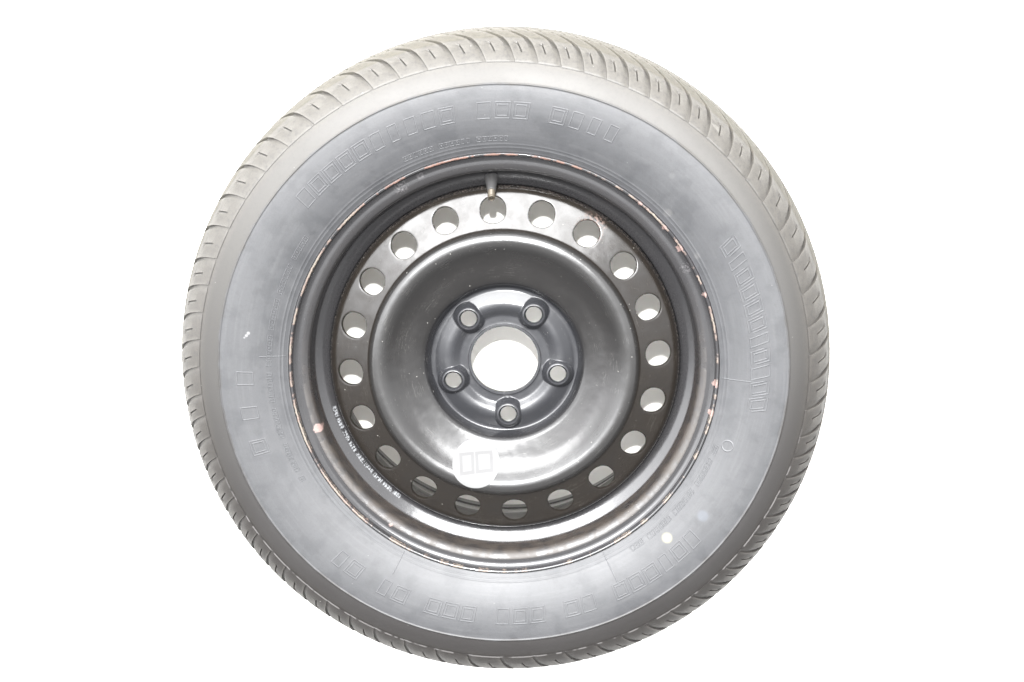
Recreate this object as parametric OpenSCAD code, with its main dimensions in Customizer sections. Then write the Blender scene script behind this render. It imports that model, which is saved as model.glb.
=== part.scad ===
// Steel spare wheel with its tubeless tyre and snap-in valve, in millimetres.
// The wheel spins about Z. The origin is the wheel's centre, +Z is the outer face, +Y points to the valve.

/* [Rim] */
// Width between the flanges, on the tyre side
rim_w = 165.1; // [140:0.1:190]
// Diameter at the bead seats
seat_d = 405.6; // [380:0.1:432]
// Height of a flange above the bead seat
flange_h = 17.3; // [14:0.1:19]
// Width that a flange's rolled lip stands out to the side
lip_w = 13; // [12:0.1:15]
// Thickness of the rim sheet
rim_t = 3; // [2:0.1:4]
// Width of a bead seat, from the flange to the safety hump
seat_w = 19; // [17:0.5:21]
// Taper of a bead seat, in degrees
seat_taper = 5; // [2:0.5:8]
// Height of the safety hump
hump_h = 1.2; // [0.6:0.1:1.8]
// Depth of the well below the bead seat, on the tyre side
well_depth = 17.5; // [14:0.5:22]
// Front edge of the well floor, from the wheel's centre plane
well_front = 46.5; // [40:0.5:52]
// Back edge of the well floor, from the wheel's centre plane
well_back = 4; // [-8:0.5:12]
// Bend radius of a flange, on the sheet's middle line
flange_bend = 8; // [6:0.5:8.5]
// Bend radius of the well's front corners, on the sheet's middle line
well_bend = 4.5; // [3.5:0.5:6]

/* [Wheel disc] */
// Thickness of the disc sheet
disc_t = 4; // [3:0.1:5]
// Distance of the mounting face in front of the wheel's centre plane
wheel_offset = 46; // [40:0.5:50]
// Diameter of the centre bore
bore_d = 70.3; // [56:0.1:76]
// Wall of the collar round the bore
collar_wall = 2.8; // [1.5:0.1:4]
// Height of the collar above the hub pad
collar_h = 1.8; // [0.8:0.1:3]
// Rise of the ring that carries the bolt seats
seat_ring_h = 5.2; // [3:0.1:7]
// Distance of the groove round the hub pad outside the bolt circle
pad_groove_out = 17.7; // [16:0.1:20]
// Distance of the bowl's foot outside the bolt circle
bowl_out = 26.7; // [25:0.1:30]
// Height of the bowl's foot above the mounting face
bowl_h = 17; // [14:0.5:19]
// Distance of the crown ridge in from the skirt
crown_in = 49.8; // [46:0.1:52]
// Height of the crown ridge's corner above the mounting face
crown_h = 38.3; // [35:0.1:42]
// Distance of the vent band's inner edge in from the skirt
vent_band_in = 40.8; // [39:0.1:42]
// Height of the vent band's inner edge above the mounting face
vent_band_h = 27.2; // [24:0.1:30]
// Slope of the vent band, in degrees
vent_slope = 20; // [14:1:24]
// Bend radius at the foot of the vent band, on the sheet's middle line
skirt_bend = 10; // [6:0.5:12]
// Depth of the disc's skirt behind the mounting face
skirt_depth = 24; // [16:0.5:30]

/* [Bolt seats] */
// Number of bolt seats
bolts = 5; // [4:1:6]
// Pitch circle diameter of the bolt seats
pcd = 115; // [108:0.1:120]
// Diameter of a bolt hole
bolt_d = 16.6; // [14:0.1:18]
// Width of the seat's cone at its mouth
bolt_mouth_d = 20; // [18.5:0.1:22]
// Diameter of the boss at its top edge
boss_top_d = 22.6; // [22.3:0.1:25]
// Diameter of the boss at its foot
boss_foot_d = 30.5; // [28:0.1:32]
// Height of the boss above the ring that carries it
boss_h = 4.2; // [3:0.1:6]

/* [Vent holes] */
// Number of vent holes
vents = 20; // [10:1:22]
// Distance of the vent holes' middle in from the skirt
vent_in = 21.1; // [19:0.1:23]
// Width of a vent hole round the wheel
vent_w = 26.5; // [18:0.1:30]
// Length of a vent hole down the slope
vent_l = 28.5; // [26.6:0.1:32]

/* [Disc welds] */
// Number of weld beads between the skirt and the rim
welds = 8; // [4:1:12]
// Length of a weld bead, in degrees
weld_arc = 26; // [10:1:28]
// Leg of a weld bead
weld_leg = 3.4; // [2:0.1:3.8]

/* [Tyre] */
// Outer diameter
tyre_d = 683; // [660:0.5:700]
// Section width
tyre_w = 221; // [212:0.5:230]
// Distance of the widest ring in from the tyre's outside
wide_in = 58.5; // [53:0.5:65]
// Distance of the sidewall's foot outside the rim's lip
foot_out = 1.4; // [0.5:0.1:4]
// Distance of that foot behind the rim's lip
foot_back = 1.05; // [0.5:0.05:3]
// Half width of the tread
tread_half = 80; // [74:0.5:86]
// Fall of the tread from the middle to its edge
crown_drop = 9; // [5:0.5:12]
// Thickness of the crown below the tread grooves
belt_t = 8; // [7:0.5:12]
// Thickness of the sidewall
wall_t = 7; // [6:0.5:10]
// Clearance between the tyre's bead and the rim
bead_gap = 0.2; // [0.1:0.05:0.4]
// Distance of the fine raised ring in from the tyre's outside
ring_in = 53.8; // [50:0.1:56]
// Height of the fine raised ring
ring_h = 0.8; // [0.4:0.1:1.5]
// Distance of the first rib outside the sidewall's foot
rib_out = 3; // [2:0.1:5]
// Distance from that rib to the second one
rib_step = 3.4; // [3:0.1:5]
// Width of a rib and of the ring at their foot
rib_w = 2.2; // [1.6:0.1:3]
// Height of a rib beside the rim
rib_h = 0.6; // [0.3:0.1:1]

/* [Tread] */
// Depth of the tread grooves
groove_depth = 7; // [4:0.5:8]
// Width of a groove round the tyre
groove_w = 8; // [5:0.5:10]
// Distance of the inner grooves from the centre plane
groove_in = 17; // [14:0.5:20]
// Distance of the outer grooves from the centre plane
groove_out = 46; // [42:0.5:50]
// Width of a slanted groove across the shoulder
slot_w = 4.2; // [2:0.1:6]
// Slant of the shoulder grooves, in degrees
slot_slant = 28; // [0:1:35]
// Distance of the shoulder blocks' foot in from the tyre's outside
block_in = 33.5; // [28:0.5:40]
// Height of that step
block_step = 0.9; // [0.5:0.1:1.5]
// Width of the short cut in each shoulder block
sipe_w = 1.2; // [0.8:0.1:2]
// Depth of that cut
sipe_depth = 2.5; // [1:0.1:4]
// Radial length of that cut
sipe_len = 9; // [5:0.5:12]
// Distance of that cut outside the blocks' foot
sipe_out = 11; // [8:0.5:13]
// Length of a long block against a short one
long_block = 1.5; // [1:0.05:1.6]

/* [Valve] */
// Diameter of the valve hole in the rim
valve_hole_d = 11.5; // [9.5:0.1:12.5]
// Length of the valve outside the rim
valve_len = 33; // [30.5:0.5:45]
// Length of the rubber outside the rim
rubber_len = 21.5; // [18:0.5:22.5]
// Diameter of the rubber foot inside the tyre
foot_d = 15; // [13.5:0.1:15.5]
// Length of the rubber foot
foot_len = 5; // [3.5:0.1:7]
// Diameter of the rubber shoulder outside the rim
shoulder_d = 14.6; // [13.5:0.1:15.5]
// Diameter of the rubber at its tip
rubber_tip_d = 8.8; // [8.3:0.1:9.6]
// Diameter of the brass thread
thread_d = 7.7; // [7.5:0.1:7.9]
// Diameter of the brass stem inside the rubber
stem_d = 6; // [5.6:0.1:6.4]

/* [Valve core] */
// Bore of the stem's mouth
mouth_d = 5.4; // [5.2:0.1:5.6]
// Bore of the stem's passage
passage_d = 4; // [3.9:0.1:4.2]
// Depth of the core's plug below the mouth
plug_depth = 2; // [1:0.1:3]
// Length of the core's plug
plug_len = 5.5; // [4:0.1:6]
// Outer diameter of the core's tube
tube_d = 3.3; // [3.1:0.1:3.4]
// Length of the core's tube below the plug
tube_len = 11; // [9:0.1:13]
// Diameter of the core pin
pin_d = 1.2; // [1:0.05:1.3]
// Height of the core pin above its plug, which is its travel
pin_travel = 1.4; // [0.8:0.1:1.8]
// Running clearance round the core pin
pin_gap = 0.08; // [0.05:0.01:0.1]
// Clearance of the plug and the gasket in the stem
core_gap = 0.05; // [0.02:0.01:0.1]
// Wire of the core spring
wire_d = 0.3; // [0.2:0.05:0.35]
// Turns of the core spring
turns = 6; // [4:1:8]

/* [Sticker] */
// Diameter of the sticker
sticker_d = 49; // [30:0.5:50]
// Thickness of the sticker
sticker_t = 0.2; // [0.1:0.05:0.4]
// Radius at which the sticker's middle lies
sticker_r = 110; // [109:0.5:111]
// Place of the sticker round the wheel, in degrees from +X
sticker_at = 250.7; // [235:0.1:265]
// Clearance of the sticker above the paint
sticker_gap = 0.12; // [0.02:0.01:0.2]

/* [Hidden] */
$fn = 96;

// Arc step of a bend, in degrees
bend_step = 9;
// What a cut runs past the surface that it opens
past = 1;
// Where the valve and the vent holes start round the wheel, in degrees from +X
valve_at = 90;

rim_half = rim_w / 2;
rim_mid = rim_t / 2;
seat_r = seat_d / 2;
flange_r = seat_r + flange_h;
well_r = seat_r - well_depth;
well_in_r = well_r - rim_t;
seat_end_r = seat_r - seat_w * tan(seat_taper);
disc_mid = disc_t / 2;
pcd_r = pcd / 2;
bore_r = bore_d / 2;
skirt_r = well_in_r - disc_mid;
skirt_end = wheel_offset - skirt_depth;
groove_r = pcd_r + pad_groove_out;
bowl_r = pcd_r + bowl_out;
crown_r = skirt_r - crown_in;
vent_band_r = skirt_r - vent_band_in;
vent_r = skirt_r - vent_in;

// Plane geometry: a point is [radius, z], and a vertex adds the radius of its bend
function unit(v) = v / norm(v);
function turned(v, a) = [v[0] * cos(a) - v[1] * sin(a), v[0] * sin(a) + v[1] * cos(a)];
function spot(v) = [v[0], v[1]];
function bend_points(a, b, c, rad) =
    let (u = unit(a - b), v = unit(c - b), inner = acos(u * v), turn = 180 - inner)
    rad <= 0 || turn < 0.5 ? [b] :
    let (middle = b + unit(u + v) * rad / sin(inner / 2), start = b + u * rad / tan(inner / 2) - middle,
        side = cross(u, v) > 0 ? -1 : 1, steps = ceil(turn / bend_step))
    [for (i = [0 : steps]) middle + turned(start, side * turn * i / steps)];
function bent_line(v) = [for (i = [0 : len(v) - 1])
    each i == 0 || i == len(v) - 1 ? [spot(v[i])] :
        bend_points(spot(v[i - 1]), spot(v[i]), spot(v[i + 1]), len(v[i]) > 2 ? v[i][2] : 0)];
function left(p, q) = turned(unit(q - p), 90);
function mitre(line, i) =
    let (n = len(line), a = left(line[max(i - 1, 0)], line[max(i, 1)]),
        b = left(line[min(i, n - 2)], line[min(i + 1, n - 1)]))
    (a + b) / (1 + a * b);
function beside(line, d) = [for (i = [0 : len(line) - 1]) line[i] + d * mitre(line, i)];
function reversed(v) = [for (i = [len(v) - 1 : -1 : 0]) v[i]];
function band(line, low, high) = concat(beside(line, low), reversed(beside(line, high)));
function mirrored(line) = [for (p = reversed(line)) [p[0], -p[1]]];

// Middle line of the rim sheet, from the outer lip over the well to the inner lip
rim_front = [
    [flange_r - rim_mid - 1.2, rim_half + lip_w],
    [flange_r - rim_mid, rim_half + lip_w - 2.7, 2],
    [flange_r - rim_mid, rim_half + rim_mid, flange_bend],
    [seat_r - rim_mid, rim_half + rim_mid, flange_bend],
    [seat_end_r - rim_mid, rim_half - seat_w, 4],
    [seat_end_r - rim_mid + hump_h, rim_half - seat_w - 3.5, 3],
    [seat_end_r - rim_mid - 0.6, rim_half - seat_w - 7, well_bend]];
rim_line = bent_line(concat(rim_front,
    [[well_r - rim_mid, well_front, well_bend], [well_r - rim_mid, well_back, 15]],
    mirrored_vertices(rim_front)));
function mirrored_vertices(v) = [for (p = reversed(v)) len(p) > 2 ? [p[0], -p[1], p[2]] : [p[0], -p[1]]];

// Middle line of the disc sheet, from the bore to the back edge of the skirt
pad_z = wheel_offset + disc_mid;
vent_band_z = wheel_offset + vent_band_h;
vent_band_fall = tan(vent_slope);
skirt_top = vent_band_z - (skirt_r - vent_band_r) * vent_band_fall;
disc_line = bent_line([
    [bore_r - past, pad_z],
    [pcd_r - 10, pad_z, 5],
    [pcd_r - 2.5, pad_z + seat_ring_h, 6],
    [pcd_r + 3, pad_z + seat_ring_h, 7],
    [groove_r - 2.8, pad_z, 5],
    [groove_r + 2.8, pad_z, 4.5],
    [bowl_r, wheel_offset + bowl_h, 7],
    [bowl_r + 0.6 * (crown_r - bowl_r), wheel_offset + bowl_h + 0.32 * (crown_h - bowl_h), 45],
    [crown_r, wheel_offset + crown_h, 8],
    [vent_band_r, vent_band_z, 5],
    [skirt_r, skirt_top, skirt_bend],
    [skirt_r, skirt_end]]);

// The valve stands square on the wall between the bead seat and the well
wall_top = spot(rim_front[len(rim_front) - 1]);
wall_foot = [well_r - rim_mid, well_front];
wall_middle = (wall_top + wall_foot) / 2;
wall_out = -left(wall_top, wall_foot);
valve_foot = wall_middle + wall_out * rim_mid;
valve_tilt = asin(-wall_out[0]);

module on_valve_axis() {
    rotate([0, 0, valve_at - 90]) translate([0, valve_foot[0], valve_foot[1]])
        rotate([valve_tilt, 0, 0]) children();
}

module round_the_wheel(count, first = 0) {
    for (i = [0 : count - 1]) rotate([0, 0, first + i * 360 / count]) children();
}

module rim() {
    color("#1b1b1d") difference() {
        rotate_extrude() polygon(band(rim_line, -rim_mid, rim_mid));
        on_valve_axis() translate([0, 0, -2 * rim_t]) cylinder(d = valve_hole_d, h = 3 * rim_t);
    }
}

// Bolt seat: a pressed boss with a conical seat, hollow behind
ring_z = pad_z + seat_ring_h + disc_mid;
boss_z = ring_z + boss_h;
mouth_depth = (bolt_mouth_d - bolt_d) / 2 / tan(30);
boss_hollow_z = ring_z - 0.4 * disc_t;

module boss() {
    rotate_extrude() polygon([[0, ring_z - disc_mid], [boss_foot_d / 2, ring_z - disc_mid],
        [boss_foot_d / 2, ring_z - 0.5], [boss_top_d / 2 + 1.6, boss_z - 1.2],
        [boss_top_d / 2, boss_z - 0.3], [boss_top_d / 2 - 0.8, boss_z], [0, boss_z]]);
}

module boss_hole() {
    translate([0, 0, wheel_offset - past]) cylinder(d = bolt_d, h = boss_z - wheel_offset + 2 * past);
    translate([0, 0, boss_z - mouth_depth])
        cylinder(d1 = bolt_d, d2 = bolt_mouth_d + 2 * past * tan(30), h = mouth_depth + past);
    translate([0, 0, wheel_offset - past])
        cylinder(d1 = boss_foot_d - 4, d2 = bolt_d + 4, h = boss_hollow_z - wheel_offset + past);
}

// Vent hole: round ends, a little longer down the slope than round the wheel
vent_z = vent_band_z - (vent_r - vent_band_r) * vent_band_fall;

module vent_hole() {
    translate([vent_r, 0, vent_z]) rotate([0, vent_slope, 0])
        translate([0, 0, -2 * disc_t]) linear_extrude(4 * disc_t) {
            for (side = [-1, 1]) translate([side * (vent_l - vent_w) / 2, 0]) circle(d = vent_w);
            square([vent_l - vent_w, vent_w], center = true);
        }
}

module wheel_disc() {
    color("#1e1e20") difference() {
        union() {
            rotate_extrude() polygon(band(disc_line, -disc_mid, disc_mid));
            translate([0, 0, pad_z]) cylinder(r = bore_r + collar_wall, h = disc_mid + collar_h);
            round_the_wheel(bolts, valve_at + 180 / bolts) translate([pcd_r, 0, 0]) boss();
        }
        translate([0, 0, wheel_offset - past]) cylinder(r = bore_r, h = disc_t + collar_h + 2 * past);
        round_the_wheel(bolts, valve_at + 180 / bolts) translate([pcd_r, 0, 0]) boss_hole();
        round_the_wheel(vents, valve_at) vent_hole();
    }
}

// Weld beads in the corner between the skirt's back edge and the well
weld_bead = [for (p = [[0, 0], [1, 0], [0.8, 0.45], [0.45, 0.8], [0, 1]])
    [well_in_r, skirt_end] - weld_leg * p];

module disc_welds() {
    color("#242426") for (i = [0 : welds - 1])
        rotate([0, 0, valve_at + (i + 0.5) * 360 / welds - weld_arc / 2])
            rotate_extrude(angle = weld_arc) polygon(weld_bead);
}

// Tyre section: each sidewall is two arcs that meet at the widest ring, and the tread is one arc
tyre_r = tyre_d / 2;
tyre_half = tyre_w / 2;
edge_r = tyre_r - crown_drop;
wide_r = tyre_r - wide_in;
ring_r = tyre_r - ring_in;
block_r = tyre_r - block_in;
foot_r = flange_r + foot_out;
foot_z = rim_half + lip_w - foot_back;
rib_r = foot_r + rib_out;
function arc_radius(reach, drop) = (reach * reach + drop * drop) / (2 * drop);
low_arc = arc_radius(wide_r - foot_r, tyre_half - foot_z);
high_arc = arc_radius(edge_r - wide_r, tyre_half - tread_half);
crown_arc = arc_radius(tread_half, crown_drop);
function wall_z(r) = tyre_half - (r < wide_r ? low_arc - sqrt(low_arc ^ 2 - (wide_r - r) ^ 2)
    : high_arc - sqrt(high_arc ^ 2 - (r - wide_r) ^ 2));
function tread_r(z) = tyre_r - crown_arc + sqrt(crown_arc ^ 2 - z ^ 2);
function off_wall(r, h) = let (a = asin((r - wide_r) / high_arc)) [r, wall_z(r)] + h * [sin(a), cos(a)];

// Inside of the tyre: from the bead's toe up the sidewall, round the shoulder and under the belt
toe_r = seat_end_r + 1.5;
toe_z = rim_half - seat_w - 0.5;
toe_w = 6;
liner_r = tyre_r - groove_depth - belt_t;
apex = [foot_r + wall_t + 1, foot_z - 2 * wall_t - 1, 12];
shoulder_corner = [edge_r - groove_depth - 10, tread_half - 3, 28];
tyre_inside = bent_line([[toe_r, toe_z], [toe_r + toe_w, toe_z - 1.5, 3], apex,
    [wide_r - 6, tyre_half - wall_t, 45], shoulder_corner, [liner_r, 0.3 * tread_half]]);
bead_points = [for (p = reversed(beside(rim_line, rim_mid + bead_gap)))
    if (p[1] > toe_z && p[1] < foot_z - 0.5) p];
function rib_points(r, h) = [for (p = [[-2, 0], [-1, h], [1, h], [2, 0]])
    let (at = r + p[0] * rib_w / 4) [at, wall_z(at) + p[1]]];
ribs_end = rib_r + rib_step + rib_w;
wall_points = concat([[foot_r, foot_z]], rib_points(rib_r, rib_h), rib_points(rib_r + rib_step, rib_h),
    [for (i = [0 : 7]) let (r = ribs_end + (wide_r - ribs_end) * i / 7) [r, wall_z(r)]],
    rib_points(ring_r, ring_h),
    [for (i = [1 : 2]) let (r = ring_r + (block_r - ring_r) * i / 3) [r, wall_z(r)]]);

// Shoulder blocks: a ring of its own section, cut across, whose foot lies deeper than the cuts
blocks_z = groove_out + groove_w / 2;
floor_r = tread_r(groove_out) - groove_depth;
block_low = block_r + 0.8;
block_high = edge_r - 1.5;
edge_z = tread_half - 1.5;
root = 9;
block_points = concat([for (i = [0 : 4]) off_wall(block_low + (block_high - block_low) * i / 4, block_step)],
    [for (i = [0 : 2]) let (z = edge_z - (edge_z - blocks_z) * i / 2) [tread_r(z), z]]);
blocks_foot = [[block_r, wall_z(block_r)], [block_r - 1, wall_z(block_r) - root],
    [edge_r - groove_depth - root, tread_half - root], [floor_r - 2, blocks_z]];
crown_z = groove_out - groove_w / 2;
crown_step = (crown_z - groove_in - groove_w / 2) / 2;
crown_points = concat([[floor_r, blocks_z], [floor_r, crown_z]],
    [for (i = [0 : 2]) let (z = crown_z - crown_step * i) [tread_r(z), z]],
    [for (side = [1, -1]) [tread_r(groove_in) - groove_depth, groove_in + side * groove_w / 2]],
    [[tread_r(groove_in - groove_w / 2), groove_in - groove_w / 2]]);
half_section = concat(bead_points, wall_points, blocks_foot, crown_points);
tyre_section = concat(half_section, mirrored(half_section),
    reversed(mirrored(tyre_inside)), reversed(tyre_inside));

// Block lengths round the tread: runs of [count, length], which keep a worn tyre from humming
runs = [[4, long_block], [3, 1.25], [9, 1], [5, 1.25], [7, long_block], [5, 1.25], [9, 1], [4, 1.25],
    [7, long_block], [4, 1.25], [9, 1], [4, 1.25]];
blocks = [for (run = runs) for (i = [1 : run[0]]) run[1]];
function total(v, i = 0) = i == len(v) ? 0 : v[i] + total(v, i + 1);
block_unit = 360 / total(blocks);
block_at = [for (i = 0, at = 5.1; i < len(blocks); at = at + blocks[i] * block_unit, i = i + 1) at];

// A slanted cut's plane is tilted about the blocks' foot: this moves a point of the section into it
function in_cut(p) = let (fall = wall_z(block_r) - p[1])
    [sqrt(p[0] ^ 2 - (fall * tan(slot_slant)) ^ 2), wall_z(block_r) - fall / cos(slot_slant)];

// A slanted groove starts level with the sidewall and is as deep as the others at the tread's edge
slot_end = block_r + 1.4;
slot_low = [for (i = [0 : 3])
    off_wall(slot_end + (edge_r - slot_end) * i / 3, (block_step - groove_depth) * i / 3)];
slot_section = [for (p = concat([[tyre_r + past, groove_out], [floor_r, groove_out]], reversed(slot_low),
    [[slot_end, tyre_half + past], [tyre_r + past, tyre_half + past]])) in_cut(p)];
sipe_low = block_r + sipe_out;
sipe_high = sipe_low + sipe_len;
sipe_section = [for (p = [off_wall(sipe_low, -sipe_depth), off_wall(sipe_high, -sipe_depth),
    off_wall(sipe_high, block_step + past), off_wall(sipe_low, block_step + past)]) in_cut(p)];

module across_shoulder(section, width, at) {
    rotate([0, 0, at]) translate([0, 0, wall_z(block_r)]) rotate([slot_slant, 0, 0])
        translate([0, 0, -wall_z(block_r)]) rotate([90, 0, 0])
            linear_extrude(width, center = true) polygon(section);
}

module shoulder_blocks() {
    difference() {
        rotate_extrude() polygon(concat(block_points, reversed(blocks_foot)));
        for (i = [0 : len(blocks) - 1]) {
            across_shoulder(slot_section, slot_w, block_at[i]);
            across_shoulder(sipe_section, sipe_w, block_at[i] + blocks[i] * block_unit / 2);
        }
    }
}

module tyre() {
    color("#57575a") union() {
        rotate_extrude() polygon(tyre_section);
        shoulder_blocks();
        mirror([0, 0, 1]) shoulder_blocks();
    }
}

// Valve, along its own axis: 0 is the outer face of the rim sheet
module valve_rubber() {
    color("#222222") on_valve_axis() difference() {
        rotate_extrude() polygon([[0, -rim_t - foot_len], [foot_d / 2 - 1.5, -rim_t - foot_len],
            [foot_d / 2, -rim_t - foot_len + 2], [foot_d / 2, -rim_t - core_gap],
            [valve_hole_d / 2 - core_gap, -rim_t - core_gap], [valve_hole_d / 2 - core_gap, core_gap],
            [shoulder_d / 2, core_gap], [shoulder_d / 2, 1.5], [shoulder_d / 2 - 0.6, 3],
            [0.42 * shoulder_d, 7], [rubber_tip_d / 2 + 0.6, 14], [rubber_tip_d / 2, rubber_len - 0.8],
            [rubber_tip_d / 2 - 0.6, rubber_len], [0, rubber_len]]);
        translate([0, 0, -rim_t - foot_len - past])
            cylinder(d = stem_d, h = rubber_len + rim_t + foot_len + 2 * past);
    }
}

plug_top = valve_len - plug_depth;
plug_end = plug_top - plug_len;
gasket_len = 1.6;
cone_len = 1.6;
cone_top = plug_end - gasket_len;
cone_end = cone_top - cone_len;
tube_end = plug_end - tube_len;
stem_end = -rim_t - foot_len;

module valve_stem() {
    color("#b9a05a") on_valve_axis() difference() {
        union() {
            translate([0, 0, stem_end]) cylinder(d = stem_d, h = rubber_len - stem_end + past / 2);
            translate([0, 0, rubber_len]) cylinder(d = thread_d, h = valve_len - rubber_len - 0.5);
            translate([0, 0, valve_len - 0.5]) cylinder(d1 = thread_d, d2 = thread_d - 1, h = 0.5);
        }
        translate([0, 0, stem_end - past]) cylinder(d = passage_d, h = valve_len - stem_end + 2 * past);
        translate([0, 0, cone_end]) cylinder(d1 = passage_d, d2 = mouth_d, h = cone_len);
        translate([0, 0, cone_top]) cylinder(d = mouth_d, h = valve_len - cone_top + past);
    }
}

// Valve core: a plug with a tube below it, open at its lower end where the seal closes it
chamber_d = tube_d - 0.9;
guide_len = 1.6;
chamber_top = plug_top - guide_len;
pin_hole_d = pin_d + 2 * pin_gap;
throat_len = 1.4;

module core_barrel() {
    color("#c9b26a") on_valve_axis() difference() {
        union() {
            translate([0, 0, plug_end]) cylinder(d = mouth_d - 2 * core_gap, h = plug_len - 1);
            intersection() {
                translate([0, 0, plug_top - past]) cylinder(d = mouth_d - 2 * core_gap, h = past);
                translate([0, 0, plug_top]) cube([mouth_d, 2.4, 2 * past], center = true);
            }
            translate([0, 0, tube_end]) cylinder(d = tube_d, h = tube_len + past);
        }
        translate([0, 0, tube_end - past]) cylinder(d = pin_hole_d, h = plug_top - tube_end + 2 * past);
        translate([0, 0, tube_end + throat_len])
            cylinder(d = chamber_d, h = chamber_top - tube_end - throat_len);
        for (side = [-1, 1]) translate([side * mouth_d / 2, 0, plug_top - guide_len])
            cube([1.4, 1, 4], center = true);
    }
}

// Ring that seals the core in the stem's cone
module core_gasket() {
    color("#c8322a") on_valve_axis() difference() {
        union() {
            translate([0, 0, cone_end])
                cylinder(d1 = passage_d - 2 * core_gap, d2 = mouth_d - 2 * core_gap, h = cone_len);
            translate([0, 0, cone_top]) cylinder(d = mouth_d - 2 * core_gap, h = gasket_len - core_gap);
        }
        translate([0, 0, cone_end - past])
            cylinder(d = tube_d + 2 * core_gap, h = plug_end - cone_end + 2 * past);
    }
}

pin_top = plug_top + pin_travel;
collar_top = chamber_top - 0.1;
collar_len = 0.8;
seal_top = tube_end - core_gap;
seal_len = 2.4;
rivet_len = 0.8;
tip_len = 0.4;
pin_end = seal_top - seal_len - rivet_len;

module core_pin() {
    color("#d8c27a") on_valve_axis() {
        translate([0, 0, pin_end]) cylinder(d = pin_d, h = pin_top - tip_len - pin_end);
        translate([0, 0, pin_top - tip_len]) cylinder(d1 = pin_d, d2 = pin_d - tip_len, h = tip_len);
        translate([0, 0, collar_top - collar_len]) cylinder(d = chamber_d - 2 * pin_gap, h = collar_len);
    }
}

// Cup with its rubber face, pressed up against the tube's lower end by the spring
module core_seal() {
    color("#3a3a3a") on_valve_axis() difference() {
        translate([0, 0, seal_top - seal_len]) cylinder(d = tube_d, h = seal_len);
        translate([0, 0, seal_top - seal_len - past]) cylinder(d = pin_d, h = seal_len + 2 * past);
    }
}

// Spring between the pin's collar and the tube's throat, swept with a six-sided wire
spring_low = tube_end + throat_len + wire_d / 2 + core_gap;
spring_high = collar_top - collar_len - wire_d / 2 - core_gap;
spring_r = (pin_d + chamber_d) / 4;
spring_sides = 6;
spring_steps = 12 * turns;
spring_points = [for (i = [0 : spring_steps]) let (a = 360 * turns * i / spring_steps,
        z = spring_low + (spring_high - spring_low) * i / spring_steps)
    for (k = [0 : spring_sides - 1]) let (b = 360 * k / spring_sides, r = spring_r + wire_d / 2 * cos(b))
        [r * cos(a), r * sin(a), z + wire_d / 2 * sin(b)]];
spring_skin = [for (i = [0 : spring_steps - 1]) for (k = [0 : spring_sides - 1])
    let (a = i * spring_sides + k, b = i * spring_sides + (k + 1) % spring_sides)
    each [[a, b, b + spring_sides], [a, b + spring_sides, a + spring_sides]]];

module core_spring() {
    color("#a8a8a4") on_valve_axis() polyhedron(points = spring_points, faces = concat(
        [[for (k = [spring_sides - 1 : -1 : 0]) k]], spring_skin,
        [[for (k = [0 : spring_sides - 1]) spring_steps * spring_sides + k]]));
}

// Sticker: a disc cut from a thin layer that follows the bowl and the crown
module sticker() {
    color("#f1f1ee") intersection() {
        rotate_extrude() polygon(band(disc_line, disc_mid + sticker_gap, disc_mid + sticker_gap + sticker_t));
        rotate([0, 0, sticker_at]) translate([sticker_r, 0, wheel_offset + disc_t])
            cylinder(d = sticker_d, h = crown_h);
    }
}

tyre();
rim();
wheel_disc();
disc_welds();
valve_rubber();
valve_stem();
core_barrel();
core_gasket();
core_pin();
core_seal();
core_spring();
sticker();
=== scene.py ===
import math

import bmesh
import bpy
import numpy as np
from mathutils import Matrix, Vector


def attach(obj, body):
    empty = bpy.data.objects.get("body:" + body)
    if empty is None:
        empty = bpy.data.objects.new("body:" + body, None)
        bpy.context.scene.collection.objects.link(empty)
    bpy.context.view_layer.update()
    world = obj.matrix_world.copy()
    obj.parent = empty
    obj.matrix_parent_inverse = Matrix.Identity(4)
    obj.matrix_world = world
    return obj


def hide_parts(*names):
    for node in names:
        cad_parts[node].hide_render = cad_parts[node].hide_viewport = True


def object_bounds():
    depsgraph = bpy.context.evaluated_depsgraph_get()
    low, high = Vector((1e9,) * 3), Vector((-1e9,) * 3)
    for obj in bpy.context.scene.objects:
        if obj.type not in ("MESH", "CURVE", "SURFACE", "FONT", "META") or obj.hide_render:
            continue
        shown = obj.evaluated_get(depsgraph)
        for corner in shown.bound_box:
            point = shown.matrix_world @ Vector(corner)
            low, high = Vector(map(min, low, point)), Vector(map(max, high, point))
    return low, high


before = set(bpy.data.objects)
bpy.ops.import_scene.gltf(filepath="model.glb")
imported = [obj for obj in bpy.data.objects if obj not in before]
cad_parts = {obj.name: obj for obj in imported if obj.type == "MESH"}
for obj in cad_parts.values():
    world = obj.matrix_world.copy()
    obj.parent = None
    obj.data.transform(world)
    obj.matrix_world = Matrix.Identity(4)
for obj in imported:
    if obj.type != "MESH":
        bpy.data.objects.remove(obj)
CAD_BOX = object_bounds()

MM = 0.001
TAU = 2 * math.pi

# Sizes of the part, in mm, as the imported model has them. R is a radius, Z a height above the wheel's middle
# plane, HALF half a width, and MID half of a sheet's thickness.
# The rim
RIM_HALF = 82.55
SEAT_R = 202.8
SEAT_WIDTH = 19.0
SEAT_END_R = SEAT_R - SEAT_WIDTH * math.tan(math.radians(5))
FLANGE_R = 220.1
WELL_R = 185.3
RIM_MID = 1.5
# The disc: pad on the hub, bolt seats, bore and vents
DISC_MID = 2.0
PAD_Z = 48.0
PCD_R = 57.5
BOSS_Z = 59.4
BOLT_R = 8.3
BOLT_MOUTH_R = 10.0
BORE_R = 35.15
VENT_R = 159.2
VENT_W, VENT_L = 26.5, 28.5
SKIRT_R = 180.3
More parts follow.
